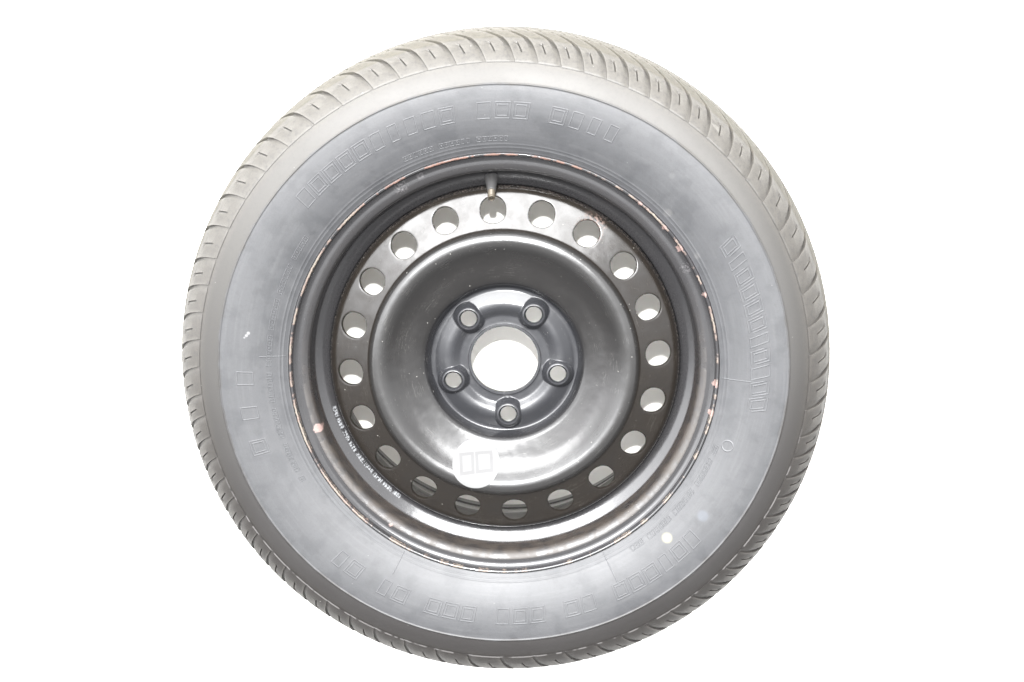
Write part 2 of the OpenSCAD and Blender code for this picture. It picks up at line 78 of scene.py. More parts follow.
# The tyre: its outside, its widest place, its foot on the rim and the edge of its tread
TYRE_R = 341.2
TYRE_HALF = 110.5
WIDE_R = 283.0
FOOT_R, FOOT_Z = 221.5, 94.5
TREAD_HALF = 80.0
CROWN_DROP = 8.7
EDGE_R = TYRE_R - CROWN_DROP
# Fine ribs on the sidewall, and where the shoulder blocks begin
RIB_RS = (224.5, 227.9)
RING_R = 287.7
RIB_WIDTH = 2.0
BLOCK_R = 308.0
# Round grooves in the tread: depth, width and where their middles lie
GROOVE = 7.0
GROOVE_W = 8.0
GROOVE_IN, GROOVE_OUT = 17.0, 46.0
RIB_FOOT_R = 332.0
# How far the shoulder grooves lean, as a share of the way up the shoulder
SLANT = math.tan(math.radians(28))
# The valve's foot (radius and height) and axis, and the sticker's direction, distance and own radius
VALVE_FOOT = (190.593, 52.7772)
VALVE_AXIS = (0.0, -0.550579, 0.834783)
STICKER = (250.7, 110.0, 24.5)


# Plane lines
def unit(v):
    return v / np.linalg.norm(v)


def turned(v, a):
    c, s = math.cos(a), math.sin(a)
    return np.array([v[0] * c - v[1] * s, v[0] * s + v[1] * c])


def bend(a, b, c, radius, step):
    """The points of a bend of that radius at b, on the way from a to c."""
    u, v = unit(a - b), unit(c - b)
    inner = math.acos(max(-1.0, min(1.0, float(u @ v))))
    turn = math.pi - inner
    if radius <= 0 or turn < 0.01:
        return [b]
    middle = b + unit(u + v) * radius / math.sin(inner / 2)
    start = b + u * radius / math.tan(inner / 2) - middle
    side = -1 if u[0] * v[1] - u[1] * v[0] > 0 else 1
    steps = max(1, math.ceil(turn / math.radians(step)))
    return [middle + turned(start, side * turn * i / steps) for i in range(steps + 1)]


def bent(vertices, step=3.0):
    spots = [np.array(v[:2], float) for v in vertices]
    line = [spots[0]]
    for i in range(1, len(spots) - 1):
        radius = vertices[i][2] if len(vertices[i]) > 2 else 0
        line += bend(spots[i - 1], spots[i], spots[i + 1], radius, step)
    return np.array(line + [spots[-1]])


def normals(line):
    """The left-hand mitre at each point of a line."""
    d = np.diff(line, axis=0)
    d /= np.linalg.norm(d, axis=1)[:, None]
    n = np.stack([-d[:, 1], d[:, 0]], 1)
    a = np.vstack([n[:1], n])
    b = np.vstack([n, n[-1:]])
    return (a + b) / (1 + (a * b).sum(1))[:, None]


def beside(line, d):
    return line + d * normals(line)


def lengths(line):
    return np.concatenate([[0], np.cumsum(np.linalg.norm(np.diff(line, axis=0), axis=1))])


def steps_along(line, spacing, bend_angle):
    """How many steps lead to each point of a line, one for each spacing and each bend angle (in degrees)."""
    d = np.diff(line, axis=0)
    size = np.linalg.norm(d, axis=1)
    heading = np.unwrap(np.arctan2(d[:, 1], d[:, 0]))
    turn = np.abs(np.diff(heading, prepend=heading[:1]))
    return np.concatenate([[0], np.cumsum(size / spacing + np.degrees(turn) / bend_angle)])


def resampled(line, spacing, bend_angle):
    """Points along a line, closer together where it bends."""
    steps = steps_along(line, spacing, bend_angle)
    at = np.linspace(0, steps[-1], max(2, math.ceil(steps[-1]) + 1))
    return np.stack([np.interp(at, steps, line[:, 0]), np.interp(at, steps, line[:, 1])], 1)


# Meshes
class Shell:
    """Collects points and faces, in mm."""

    def __init__(self):
        self.points, self.faces, self.count = [], [], 0

    def add(self, points):
        points = np.asarray(points, float).reshape(-1, 3)
        self.points.append(points)
        start = self.count
        self.count += len(points)
        return np.arange(start, self.count)

    def quads(self, a, b, closed=True):
        """Faces between two rows of points of the same length."""
        if closed:
            a, b = np.append(a, a[0]), np.append(b, b[0])
        self.faces += [tuple(map(int, corners)) for corners in zip(a[:-1], a[1:], b[1:], b[:-1])]

    def rows(self, rows, closed=True, looped=False):
        ids = [self.add(r) for r in rows]
        for a, b in zip(ids[:-1], ids[1:]):
            self.quads(a, b, closed)
        if looped:
            self.quads(ids[-1], ids[0], closed)
        return ids

    def build(self, name, sharp=35.0, weld=1e-6):
        mesh = bpy.data.meshes.new(name)
        mesh.from_pydata((np.concatenate(self.points) * MM).tolist(), [], self.faces)
        bm = bmesh.new()
        bm.from_mesh(mesh)
        if weld:
            bmesh.ops.remove_doubles(bm, verts=bm.verts, dist=weld)
        bmesh.ops.dissolve_degenerate(bm, edges=bm.edges, dist=1e-8)
        bmesh.ops.recalc_face_normals(bm, faces=bm.faces)
        bm.to_mesh(mesh)
        bm.free()
        mesh.polygons.foreach_set("use_smooth", [True] * len(mesh.polygons))
        mesh.set_sharp_from_angle(angle=math.radians(sharp))
        obj = bpy.data.objects.new(name, mesh)
        bpy.context.collection.objects.link(obj)
        return obj


def around(r, z, angles):
    """A ring of points at one radius and height."""
    angles = np.asarray(angles)
    r, z = np.broadcast_to(r, angles.shape), np.broadcast_to(z, angles.shape)
    return np.stack([r * np.cos(angles), r * np.sin(angles), z], 1)


def revolved(shell, line, columns):
    """A closed section turned round the axis."""
    angles = np.arange(columns) * TAU / columns
    return shell.rows([around(r, z, angles) for r, z in line], looped=True)


def smooth_max(a, b, k):
    h = np.clip(0.5 + 0.5 * (a - b) / k, 0, 1)
    return b + (a - b) * h + k * h * (1 - h)


# Rim
RIM_FRONT = [
    (FLANGE_R - RIM_MID - 1.2, RIM_HALF + 13),
    (FLANGE_R - RIM_MID, RIM_HALF + 10.3, 2),
    (FLANGE_R - RIM_MID, RIM_HALF + RIM_MID, 8),
    (SEAT_R - RIM_MID, RIM_HALF + RIM_MID, 8),
    (SEAT_END_R - RIM_MID, RIM_HALF - SEAT_WIDTH, 4),
    (SEAT_END_R - RIM_MID + 1.2, RIM_HALF - 22.5, 3),
    (SEAT_END_R - RIM_MID - 0.6, RIM_HALF - 26, 4.5)]
RIM_LINE = RIM_FRONT + [(WELL_R - RIM_MID, 46.5, 4.5), (WELL_R - RIM_MID, 4, 15)] + [
    (v[0], -v[1]) + tuple(v[2:]) for v in reversed(RIM_FRONT)]


def sheet_edge(end, across, along):
    """The rounded edge of the rim's sheet, where its middle line ends."""
    rounding = 0.9
    return [end + across * RIM_MID * math.cos(a) + along * (math.sin(a) - 1) * rounding
            for a in np.linspace(math.pi, 0, 7)]


def make_rim():
    line = resampled(bent(RIM_LINE, 2.0), 4.0, 6.0)
    inner, outer = beside(line, -RIM_MID), beside(line, RIM_MID)
    front = sheet_edge(line[0], -normals(line)[0], unit(line[0] - line[1]))
    back = sheet_edge(line[-1], normals(line)[-1], unit(line[-1] - line[-2]))
    outline = np.vstack([front, inner[1:-1], back, outer[1:-1][::-1]])
    shell = Shell()
    revolved(shell, outline, 288)
    return shell.build("rim_barrel", 50)


# Wheel disc: the middle line of its sheet from the bore outwards, with the ring of the bolt seats, the groove
# round it, the bowl, the crown, the slope that holds the vents and the skirt in the rim
RING_Z = PAD_Z + 5.2
BOWL_R, BOWL_Z = 84.2, 63.0
CROWN_R, CROWN_Z = 130.5, 84.3
SLOPE_R, SLOPE_Z = 139.5, 73.2
DISC_LINE = bent([
    (38.95, PAD_Z), (PCD_R - 10, PAD_Z, 5), (PCD_R - 2.5, RING_Z, 6), (PCD_R + 3, RING_Z, 7),
    (72.4, PAD_Z, 5), (78, PAD_Z, 4.5), (BOWL_R, BOWL_Z, 7),
    (BOWL_R + 0.6 * (CROWN_R - BOWL_R), BOWL_Z + 0.32 * (CROWN_Z - BOWL_Z), 45), (CROWN_R, CROWN_Z, 8),
    (SLOPE_R, SLOPE_Z, 5), (SKIRT_R, SLOPE_Z - (SKIRT_R - SLOPE_R) * math.tan(math.radians(20)), 10),
    (SKIRT_R, 22)], 2.0)
DISC_NORMAL = normals(DISC_LINE)
DISC_S = lengths(DISC_LINE)
FRONT = DISC_LINE + DISC_MID * DISC_NORMAL
BACK = DISC_LINE - DISC_MID * DISC_NORMAL
COLUMNS = 360
BOLTS = [math.radians(54 + 72 * k) for k in range(5)]
VENTS = [math.radians(90 + 18 * k) for k in range(20)]
BOLT_SPOTS = np.array([[PCD_R * math.cos(a), PCD_R * math.sin(a)] for a in BOLTS])
BOSS_BACK_Z = 53.6
BOSSES_END_R = 80.0
# Distances from a boss's middle and the heights there: its front, and the hollow behind it
BOSS_FRONT = ((0, 10.4, 11.0, 11.9, 13.0, 18.0), [BOSS_Z - drop for drop in (0, 0, 0.25, 1.0, 2.7, 11.5)])
BOSS_BACK = ((0, 10.3, 13.25, 14.0), (BOSS_BACK_Z, BOSS_BACK_Z, 46.0, 40.0))


def with_boss(x, y, z, front):
    """The disc's height with the bosses added."""
    d = np.min([np.hypot(x - bx, y - by) for bx, by in BOLT_SPOTS], axis=0)
    if front:
        return smooth_max(z, np.interp(d, *BOSS_FRONT), 0.9)
    return np.maximum(z, np.interp(d, *BOSS_BACK))


def disc_at(s, angle, front):
    """A point of the disc's front or back, s along its section."""
    side = FRONT if front else BACK
    s, angle = np.broadcast_arrays(np.asarray(s, float), np.asarray(angle, float))
    r = np.interp(s, DISC_S, side[:, 0])
    z = np.interp(s, DISC_S, side[:, 1])
    x, y = r * np.cos(angle), r * np.sin(angle)
    near = r < BOSSES_END_R
    if near.any():
        z = np.where(near, with_boss(x, y, z, front), z)
    return np.stack([x, y, z], -1)


def s_of(radius):
    """The place along the section where its middle line has that radius."""
    return float(np.interp(radius, DISC_LINE[:, 0], DISC_S))


BOSS_S = (s_of(41.0), s_of(75.2))
VENT_S = (s_of(142.4), s_of(174.6))
VENT_MID = s_of(VENT_R)
BOSS_ROWS = 24


def patch_edge(at, reach, rows, half):
    """The loop of points round a patch of the disc, as places along its section and directions. reach is
    where the patch begins and ends along the section, and half is half its angle in degrees."""
    turn = np.radians(np.arange(-half, half + 1)) + at
    s = np.linspace(*reach, rows + 1)
    return np.array([(s[0], t) for t in turn[:-1]] + [(q, turn[-1]) for q in s[:-1]] +
                    [(s[-1], t) for t in turn[:0:-1]] + [(q, turn[0]) for q in s[:0:-1]])


def bolt_patch(shell, at):
    """One bolt seat: the sheet round it, its boss and its hole."""
    edge = patch_edge(at, BOSS_S, BOSS_ROWS, 18)
    cx, cy = PCD_R * math.cos(at), PCD_R * math.sin(at)
    seat = ((BOLT_MOUTH_R, BOSS_Z - 0.25), (9.2, 58.0), (8.42, 56.66), (BOLT_R, 56.3), (BOLT_R, BOSS_BACK_Z))
    loops = []
    for front, side, inner, steps in ((True, FRONT, 10.25, 26), (False, BACK, 10.3, 10)):
        outer = disc_at(edge[:, 0], edge[:, 1], front)
        dx, dy = outer[:, 0] - cx, outer[:, 1] - cy
        d = np.hypot(dx, dy)
        side = side[side[:, 0] < BOSSES_END_R]
        rings = [outer]
        for f in (1 - np.arange(1, steps + 1) / steps) ** 1.3:
            e = inner + (d - inner) * f
            x, y = cx + dx / d * e, cy + dy / d * e
            z = np.interp(np.hypot(x, y), side[:, 0], side[:, 1])
            rings.append(np.stack([x, y, with_boss(x, y, z, front)], 1))
        if front:
            rings += [np.stack([cx + dx / d * e, cy + dy / d * e, np.full(len(d), z)], 1) for e, z in seat]
        loops.append(shell.rows(rings))
    shell.quads(loops[0][-1], loops[1][-1])


def vent_patch(shell, at):
    """One vent hole: the sheet round it, its rolled edge and its wall."""
    edge = patch_edge(at, VENT_S, 22, 9)
    s0, t0 = edge[:, 0], edge[:, 1]
    a, b = s0 - VENT_MID, (t0 - at) * VENT_R
    far = np.hypot(a, b)
    ca, cb = a / far, b / far
    # from the hole's middle to its outline, which is two half circles and the straight sides between them
    radius, shift = VENT_W / 2, (VENT_L - VENT_W) / 2
    to_side = radius / np.maximum(np.abs(cb), 1e-9)
    to_end = shift * np.abs(ca) + np.sqrt(radius ** 2 - (shift * cb) ** 2)
    reach = np.where(to_side * np.abs(ca) < shift, to_side, to_end)

    def outline(grow):
        """The hole's outline, larger by that much, as places along the section and directions."""
        s = VENT_MID + ca * (reach + grow)
        return s, at + cb * (reach + grow) / np.interp(s, DISC_S, DISC_LINE[:, 0])

    loops = []
    for front, rolled, shares in ((True, 0.8, (0.25, 0.5, 0.72, 0.88, 1.0)), (False, 0.3, (0.5, 1.0))):
        s1, t1 = outline(rolled)
        rings = [disc_at(s0, t0, front)]
        rings += [disc_at(s0 + (s1 - s0) * f, t0 + (t1 - t0) * f, front) for f in shares]
        loops.append(shell.rows(rings)[-1])
    mouth, front_edge = disc_at(*outline(0.25), True), disc_at(*outline(0), True)
    through = disc_at(*outline(0), False) - front_edge
    wall = (mouth + through * 0.05, front_edge + through * 0.2, front_edge + through * 0.92)
    loops[1:1] = [shell.add(w) for w in wall]
    for a, b in zip(loops[:-1], loops[1:]):
        shell.quads(a, b)


def make_disc():
    shell = Shell()
    angles = np.arange(COLUMNS) * TAU / COLUMNS
    bore_edge = 46.35
    front_collar = [(BORE_R, bore_edge), (BORE_R, 51.45), (BORE_R + 0.35, 51.8), (37.5, 51.8), (37.95, 51.45),
                    (37.95, 50.6), (38.3, 50.12)]
    back_collar = [(BORE_R, bore_edge), (BORE_R + 0.35, 46.0)]
    skirt_ends = []
    for front, line, collar, fineness in ((True, FRONT, front_collar, (4.2, 7.5)),
                                          (False, BACK, back_collar, (8.0, 14.0))):

        def sheet(low, high):
            """The rows of the sheet's front or back between two places along the section."""
            inside = (DISC_S > low + 1e-6) & (DISC_S < high - 1e-6)
            s = np.concatenate([[low], DISC_S[inside], [high]])
            points = np.stack([np.interp(s, DISC_S, line[:, 0]), np.interp(s, DISC_S, line[:, 1])], 1)
            steps = steps_along(points, *fineness)
            at = np.interp(np.linspace(0, steps[-1], max(2, int(steps[-1]) + 2)), steps, s)
            return [disc_at(q, angles, front) for q in at]

        shell.rows([around(r, z, angles) for r, z in collar] + sheet(0.0, BOSS_S[0]))
        shell.rows(sheet(BOSS_S[1], VENT_S[0]))
        skirt = sheet(VENT_S[1], DISC_S[-1])
        shell.rows(skirt)
        skirt_ends.append(skirt[-1])
        # between the bolt patches
        for k in range(5):
            turn = np.radians(72 + 72 * k + np.arange(0, 37))
            shell.rows([disc_at(q, turn, front) for q in np.linspace(*BOSS_S, BOSS_ROWS + 1)], closed=False)
    shell.rows(skirt_ends)
    for at in BOLTS:
        bolt_patch(shell, at)
    for at in VENTS:
        vent_patch(shell, at)
    return shell.build("wheel_disc_sheet", 32, 2e-6)


# Tyre
def arc_radius(reach, drop):
    """The radius of an arc that drops that far over that reach."""
    return (reach * reach + drop * drop) / (2 * drop)


LOW_ARC = arc_radius(WIDE_R - FOOT_R, TYRE_HALF - FOOT_Z)
HIGH_ARC = arc_radius(EDGE_R - WIDE_R, TYRE_HALF - TREAD_HALF)
CROWN_ARC = arc_radius(TREAD_HALF, CROWN_DROP)


def wall_z(r):
    """The sidewall's height at a radius."""
    r = np.asarray(r, float)
    low = LOW_ARC - np.sqrt(LOW_ARC ** 2 - (WIDE_R - np.minimum(r, WIDE_R)) ** 2)
    high = HIGH_ARC - np.sqrt(HIGH_ARC ** 2 - (np.maximum(r, WIDE_R) - WIDE_R) ** 2)
    return TYRE_HALF - np.where(r < WIDE_R, low, high)


def tread_r(z):
    """The tread's radius at a height."""
    return TYRE_R - CROWN_ARC + np.sqrt(CROWN_ARC ** 2 - np.asarray(z, float) ** 2)


def on_wall(r, up=0.0):
    return r, float(wall_z(r)) + up


def rib(r, height):
    """A fine round rib that stands on the sidewall."""
    at = np.array([-1, -0.72, -0.4, 0, 0.4, 0.72, 1]) * RIB_WIDTH / 2
    up = np.array([0, 0.35, 0.85, 1, 0.85, 0.35, 0]) * height
    return [on_wall(r + a, u) for a, u in zip(at, up)]


def make_casing():
    """The tyre without its tread blocks: from the bead over the sidewall, under the blocks and back."""
    toe_r, toe_z = SEAT_END_R + 1.5, RIM_HALF - 19.5
    inside = bent([(toe_r, toe_z), (toe_r + 6, toe_z - 1.5, 3), (FOOT_R + 8, FOOT_Z - 15, 12),
                   (WIDE_R - 6, TYRE_HALF - 7, 45), (EDGE_R - 17, TREAD_HALF - 3, 28),
                   (TYRE_R - GROOVE - 8, 0.3 * TREAD_HALF)], 4.0)
    inside = [tuple(p) for p in resampled(inside, 12.0, 12.0)]
    along_rim = beside(bent(RIM_LINE, 6.0), RIM_MID + 0.2)[::-1]
    bead = [tuple(p) for p in along_rim if toe_z < p[1] < FOOT_Z - 0.5]
    wall = [(FOOT_R - 0.6, FOOT_Z - 0.35), (FOOT_R, FOOT_Z)] + rib(RIB_RS[0], 0.2) + rib(RIB_RS[1], 0.2)
    wall += [on_wall(r) for r in np.linspace(RIB_RS[1] + 2.4, RING_R - 2.2, 24)]
    wall += rib(RING_R, 0.62)
    wall += [on_wall(r) for r in np.linspace(RING_R + 2.4, BLOCK_R + 1.2, 7)]
    under_blocks = [(BLOCK_R + 1.0, 95.0), (318.5, 72.0), (327.0, 54.0), (331.4, GROOVE_OUT + 5.5)]
    floors = [(float(tread_r(z)) - GROOVE, z) for z in (48.0, 44.0, 30.0, 19.0, 15.0)]
    front = bead + wall + under_blocks + floors
    back = [(r, -z) for r, z in reversed(front)]
    outline = front + back + [(r, -z) for r, z in inside] + inside[::-1]
    shell = Shell()
    revolved(shell, outline, 300)
    return shell.build("tyre_casing", 40)


def blocks_at():
    """The angle of each shoulder groove at the blocks' foot, and the angle to the next one. The blocks
    come in runs of one of three sizes, so that the tyre doesn't hum."""
    runs = [(4, 1.5), (3, 1.25), (9, 1), (5, 1.25), (7, 1.5), (5, 1.25),
            (9, 1), (4, 1.25), (7, 1.5), (4, 1.25), (9, 1), (4, 1.25)]
    counts, sizes = zip(*runs)
    sizes = np.repeat(sizes, counts)
    sizes = sizes * TAU / sizes.sum()
    return list(zip(math.radians(5.1) + np.cumsum(sizes) - sizes, sizes))


BLOCKS = blocks_at()
# What a column of points across the tread belongs to
EDGE, RAMP, FLOOR, BLOCK, SIPE, HOOK = range(6)
# A shoulder groove, a slit in a block with the hook at its end, and a cut across a rib, each as columns: how
# far round the tyre from its middle, in mm, and what the column belongs to
GROOVE_COLUMNS = [(-2.7, EDGE), (-2.3, FLOOR), (-0.8, FLOOR), (0.9, RAMP), (2.7, EDGE)]
SIPE_COLUMNS = [(-0.9, BLOCK), (-0.55, SIPE), (0.55, SIPE), (0.85, HOOK), (2.7, HOOK), (3.0, BLOCK)]
CUT_COLUMNS = [(-0.9, EDGE), (-0.5, FLOOR), (0.5, FLOOR), (0.9, EDGE)]
# The slits: from which radius to which, how much of that is the hook, and their depths
SIPE_RS = (BLOCK_R + 10.2, BLOCK_R + 19.6)
HOOK_WIDTH = 2.2
SIPE_DEPTH, HOOK_DEPTH, CUT_DEPTH = 1.6, 0.8, 4.0


def columns_at(places):
    """The angles and the kinds of columns. places are angles with the columns that stand round each."""
    columns = [(at + offset / BLOCK_R, kind) for at, parts in places for offset, kind in parts]
    return [np.array(values) for values in zip(*columns)]


def tread_ring(shell, rows, columns, depth):
    """A closed ring of tread. rows are (r, z, nr, nz), outside first and then inside, with the way out at
    each point. depth gives how far a row goes in at each column."""
    made = []
    for i, (r, z, nr, nz) in enumerate(rows):
        cut = depth(i)
        lean = (float(wall_z(BLOCK_R)) - abs(z)) * SLANT / BLOCK_R
        made.append(around(r - nr * cut, z - nz * cut, columns + lean))
    shell.rows(made, looped=True)


def shoulder_line():
    """The outside of the shoulder blocks: a small step, the slope, the rounded edge and the tread as far as
    the outer groove. The number of points as far as the slope's end comes with it."""
    raised = 0.9
    slope = []
    for r in np.linspace(BLOCK_R + 1.3, EDGE_R - 5.0, 19):
        lean = (r - WIDE_R) / HIGH_ARC
        slope.append((r + raised * lean, on_wall(r)[1] + raised * math.sqrt(1 - lean * lean)))
    edge = bent([slope[-1], (EDGE_R - 0.1, TREAD_HALF + 0.4, 5.0), (float(tread_r(70)), 70.0)], 14.0)[1:-1]
    top = [(float(tread_r(z)), z) for z in np.linspace(71.0, GROOVE_OUT + GROOVE_W / 2 + 0.6, 6)]
    step = [on_wall(BLOCK_R + 0.2, -0.4), on_wall(BLOCK_R + 0.45, 0.55)]
    return np.array(step + slope + [tuple(p) for p in edge] + top), len(step) + len(slope)


def add_shoulder(shell, side):
    """The blocks of one side, with their slanted grooves and slits."""
    places = []
    for at, size in BLOCKS:
        half = size / 2 * BLOCK_R
        slit = [(half + offset, kind) for offset, kind in SIPE_COLUMNS]
        places.append((at, GROOVE_COLUMNS + [(half * 0.55, BLOCK)] + slit + [(half * 1.55, BLOCK)]))
    columns, kinds = columns_at(places)
    outer, slope_end = shoulder_line()
    along = lengths(outer)
    share = np.clip((along - along[2]) / (along[slope_end - 1] - along[2]), 0, 1)
    inner = [(float(tread_r(50)) - 0.5, 50.0), (RIB_FOOT_R + 0.2, 50.0), (331.0, 52.5), (322.0, 66.0),
             (312.5, 90.0), (BLOCK_R + 0.6, 97.0)]
    rows = [(p[0], side * p[1], q[0], side * q[1]) for p, q in zip(outer, normals(outer))]
    rows += [(r, side * z, 0, 0) for r, z in inner]

    def depth(i):
        cut = np.zeros(len(columns))
        if i >= len(outer):
            return cut
        r, z = outer[i]
        full = (0.0, 0.5)[i] if i < 2 else 0.85 + 1.5 * share[i] ** 2
        if share[i] == 1:
            full += 4.6 * np.clip((TREAD_HALF - 1.0 - z) / 5.0, 0, 1)
        cut[kinds == FLOOR] = full
        cut[kinds == RAMP] = 0.6 * full
        if i >= 2 and SIPE_RS[0] < r < SIPE_RS[1]:
            cut[kinds == SIPE] = SIPE_DEPTH
            if r > SIPE_RS[1] - HOOK_WIDTH:
                cut[kinds == HOOK] = HOOK_DEPTH
        return cut

    tread_ring(shell, rows, columns, depth)


def add_rib(shell, low, high):
    """A rib between two round grooves, with fine cuts across it."""
    cuts = [(at + part * size, CUT_COLUMNS) for at, size in BLOCKS for part in (0.0, 0.5)]
    columns, kinds = columns_at(cuts)
    tops = [(float(tread_r(z)), z, 1, 0) for z in np.linspace(low + 0.7, high - 0.7, 7)]
    sides = [[(RIB_FOOT_R, z, 0, 0), (float(tread_r(z)) - 0.7, z, 0, 0)] for z in (low, high)]

    def depth(i):
        on_top = 2 <= i < 2 + len(tops)
        return np.where(kinds == FLOOR, CUT_DEPTH if on_top else 0.0, 0.0)

    tread_ring(shell, sides[0] + tops + sides[1][::-1], columns, depth)


def make_tread():
    shell = Shell()
    for side in (1, -1):
        add_shoulder(shell, side)
    inner_edge, outer_edge = GROOVE_IN + GROOVE_W / 2, GROOVE_OUT - GROOVE_W / 2
    middle = GROOVE_IN - GROOVE_W / 2
    for low, high in ((inner_edge, outer_edge), (-middle, middle), (-outer_edge, -inner_edge)):
        add_rib(shell, low, high)
    return shell.build("tyre_tread", 28, 0)


# Valve and sticker
THREAD_R, THREAD_START, THREAD_END = 3.85, 22.0, 31.6
THREAD_PITCH, THREAD_DEPTH = 0.8, 0.32


def valve_frame():
    z, x = Vector(VALVE_AXIS), Vector((1, 0, 0))
    m = Matrix((x, z.cross(x), z)).transposed().to_4x4()
    m.translation = Vector((0, *VALVE_FOOT))
    return m


def on_valve(outline, name, columns, sharp):
    """A closed section turned round the valve's axis. Points at the thread's radius get its turns."""
    m = valve_frame()
    angles = np.arange(columns) * TAU / columns
    rings = []
    for r, z in outline:
        if r == THREAD_R and THREAD_START - 1e-6 <= z <= THREAD_END + 1e-6:
            turn = (z / THREAD_PITCH - angles / TAU) % 1.0
            fade = min(1.0, (z - THREAD_START) / THREAD_PITCH, (THREAD_END - z) / THREAD_PITCH)
            r = r - THREAD_DEPTH * (1 - np.abs(2 * turn - 1)) * max(fade, 0)
        rings.append(np.array([m @ Vector(point) for point in around(r, z, angles)]))
    shell = Shell()
    shell.rows(rings, looped=True)
    return shell.build(name, sharp, 1e-7)


def make_valve():
    foot, top = -8.0, 21.5
    outer = bent([(3.0, foot), (6.0, foot), (7.5, foot + 2, 0.6), (7.5, -3.05), (5.7, -3.05), (5.7, 0.05),
                  (7.3, 0.05), (7.3, 1.5, 0.5), (6.7, 3, 1.0), (6.13, 7, 3), (5.0, 14, 10), (4.4, 20.7, 1.5),
                  (4.2, 21.3, 0.3), (3.8, top), (3.0, top)], 10)
    rubber = on_valve([tuple(p) for p in outer], "valve_body_rubber", 72, 40)
    plain = [(2.0, foot), (3.0, foot), (3.0, top), (3.5, top), (THREAD_R, THREAD_START - 0.1)]
    threads = [(THREAD_R, z) for z in np.arange(THREAD_START, THREAD_END + 0.01, 0.1)]
    tip = [(THREAD_R, 31.8), (3.75, 32.4), (3.45, 32.8), (3.3, 32.97), (2.95, 33.0), (2.72, 32.85),
           (2.7, 32.6), (2.7, 23.9), (2.0, 22.3)]
    return rubber, on_valve(plain + threads + tip, "valve_stem_brass", 48, 60)


def make_sticker():
    """A thin round film on the bowl and the crown."""
    at, r0, radius = math.radians(STICKER[0]), STICKER[1], STICKER[2]
    top = int(np.argmax(FRONT[:, 1]))
    t = np.linspace(0, TAU, 97)[:-1]

    def ring(share, up):
        x, y = (r0 * f(at) + radius * share * g(t) for f, g in ((math.cos, np.cos), (math.sin, np.sin)))
        z = np.interp(np.hypot(x, y), FRONT[:top, 0], FRONT[:top, 1])
        return np.stack([x, y, z + up], 1)

    under = 0.06
    rings = [ring(share, 0.25) for share in (0.01, 0.12, 0.25, 0.4, 0.55, 0.7, 0.82, 0.92, 0.98)]
    rings += [ring(1.0, 0.2)] + [ring(share, under) for share in (1.0, 0.7, 0.4, 0.01)]
    shell = Shell()
    ids = shell.rows(rings)
    shell.faces += [tuple(int(i) for i in ids[0][::-1]), tuple(int(i) for i in ids[-1])]
    return shell.build("disc_sticker", 40, 0)


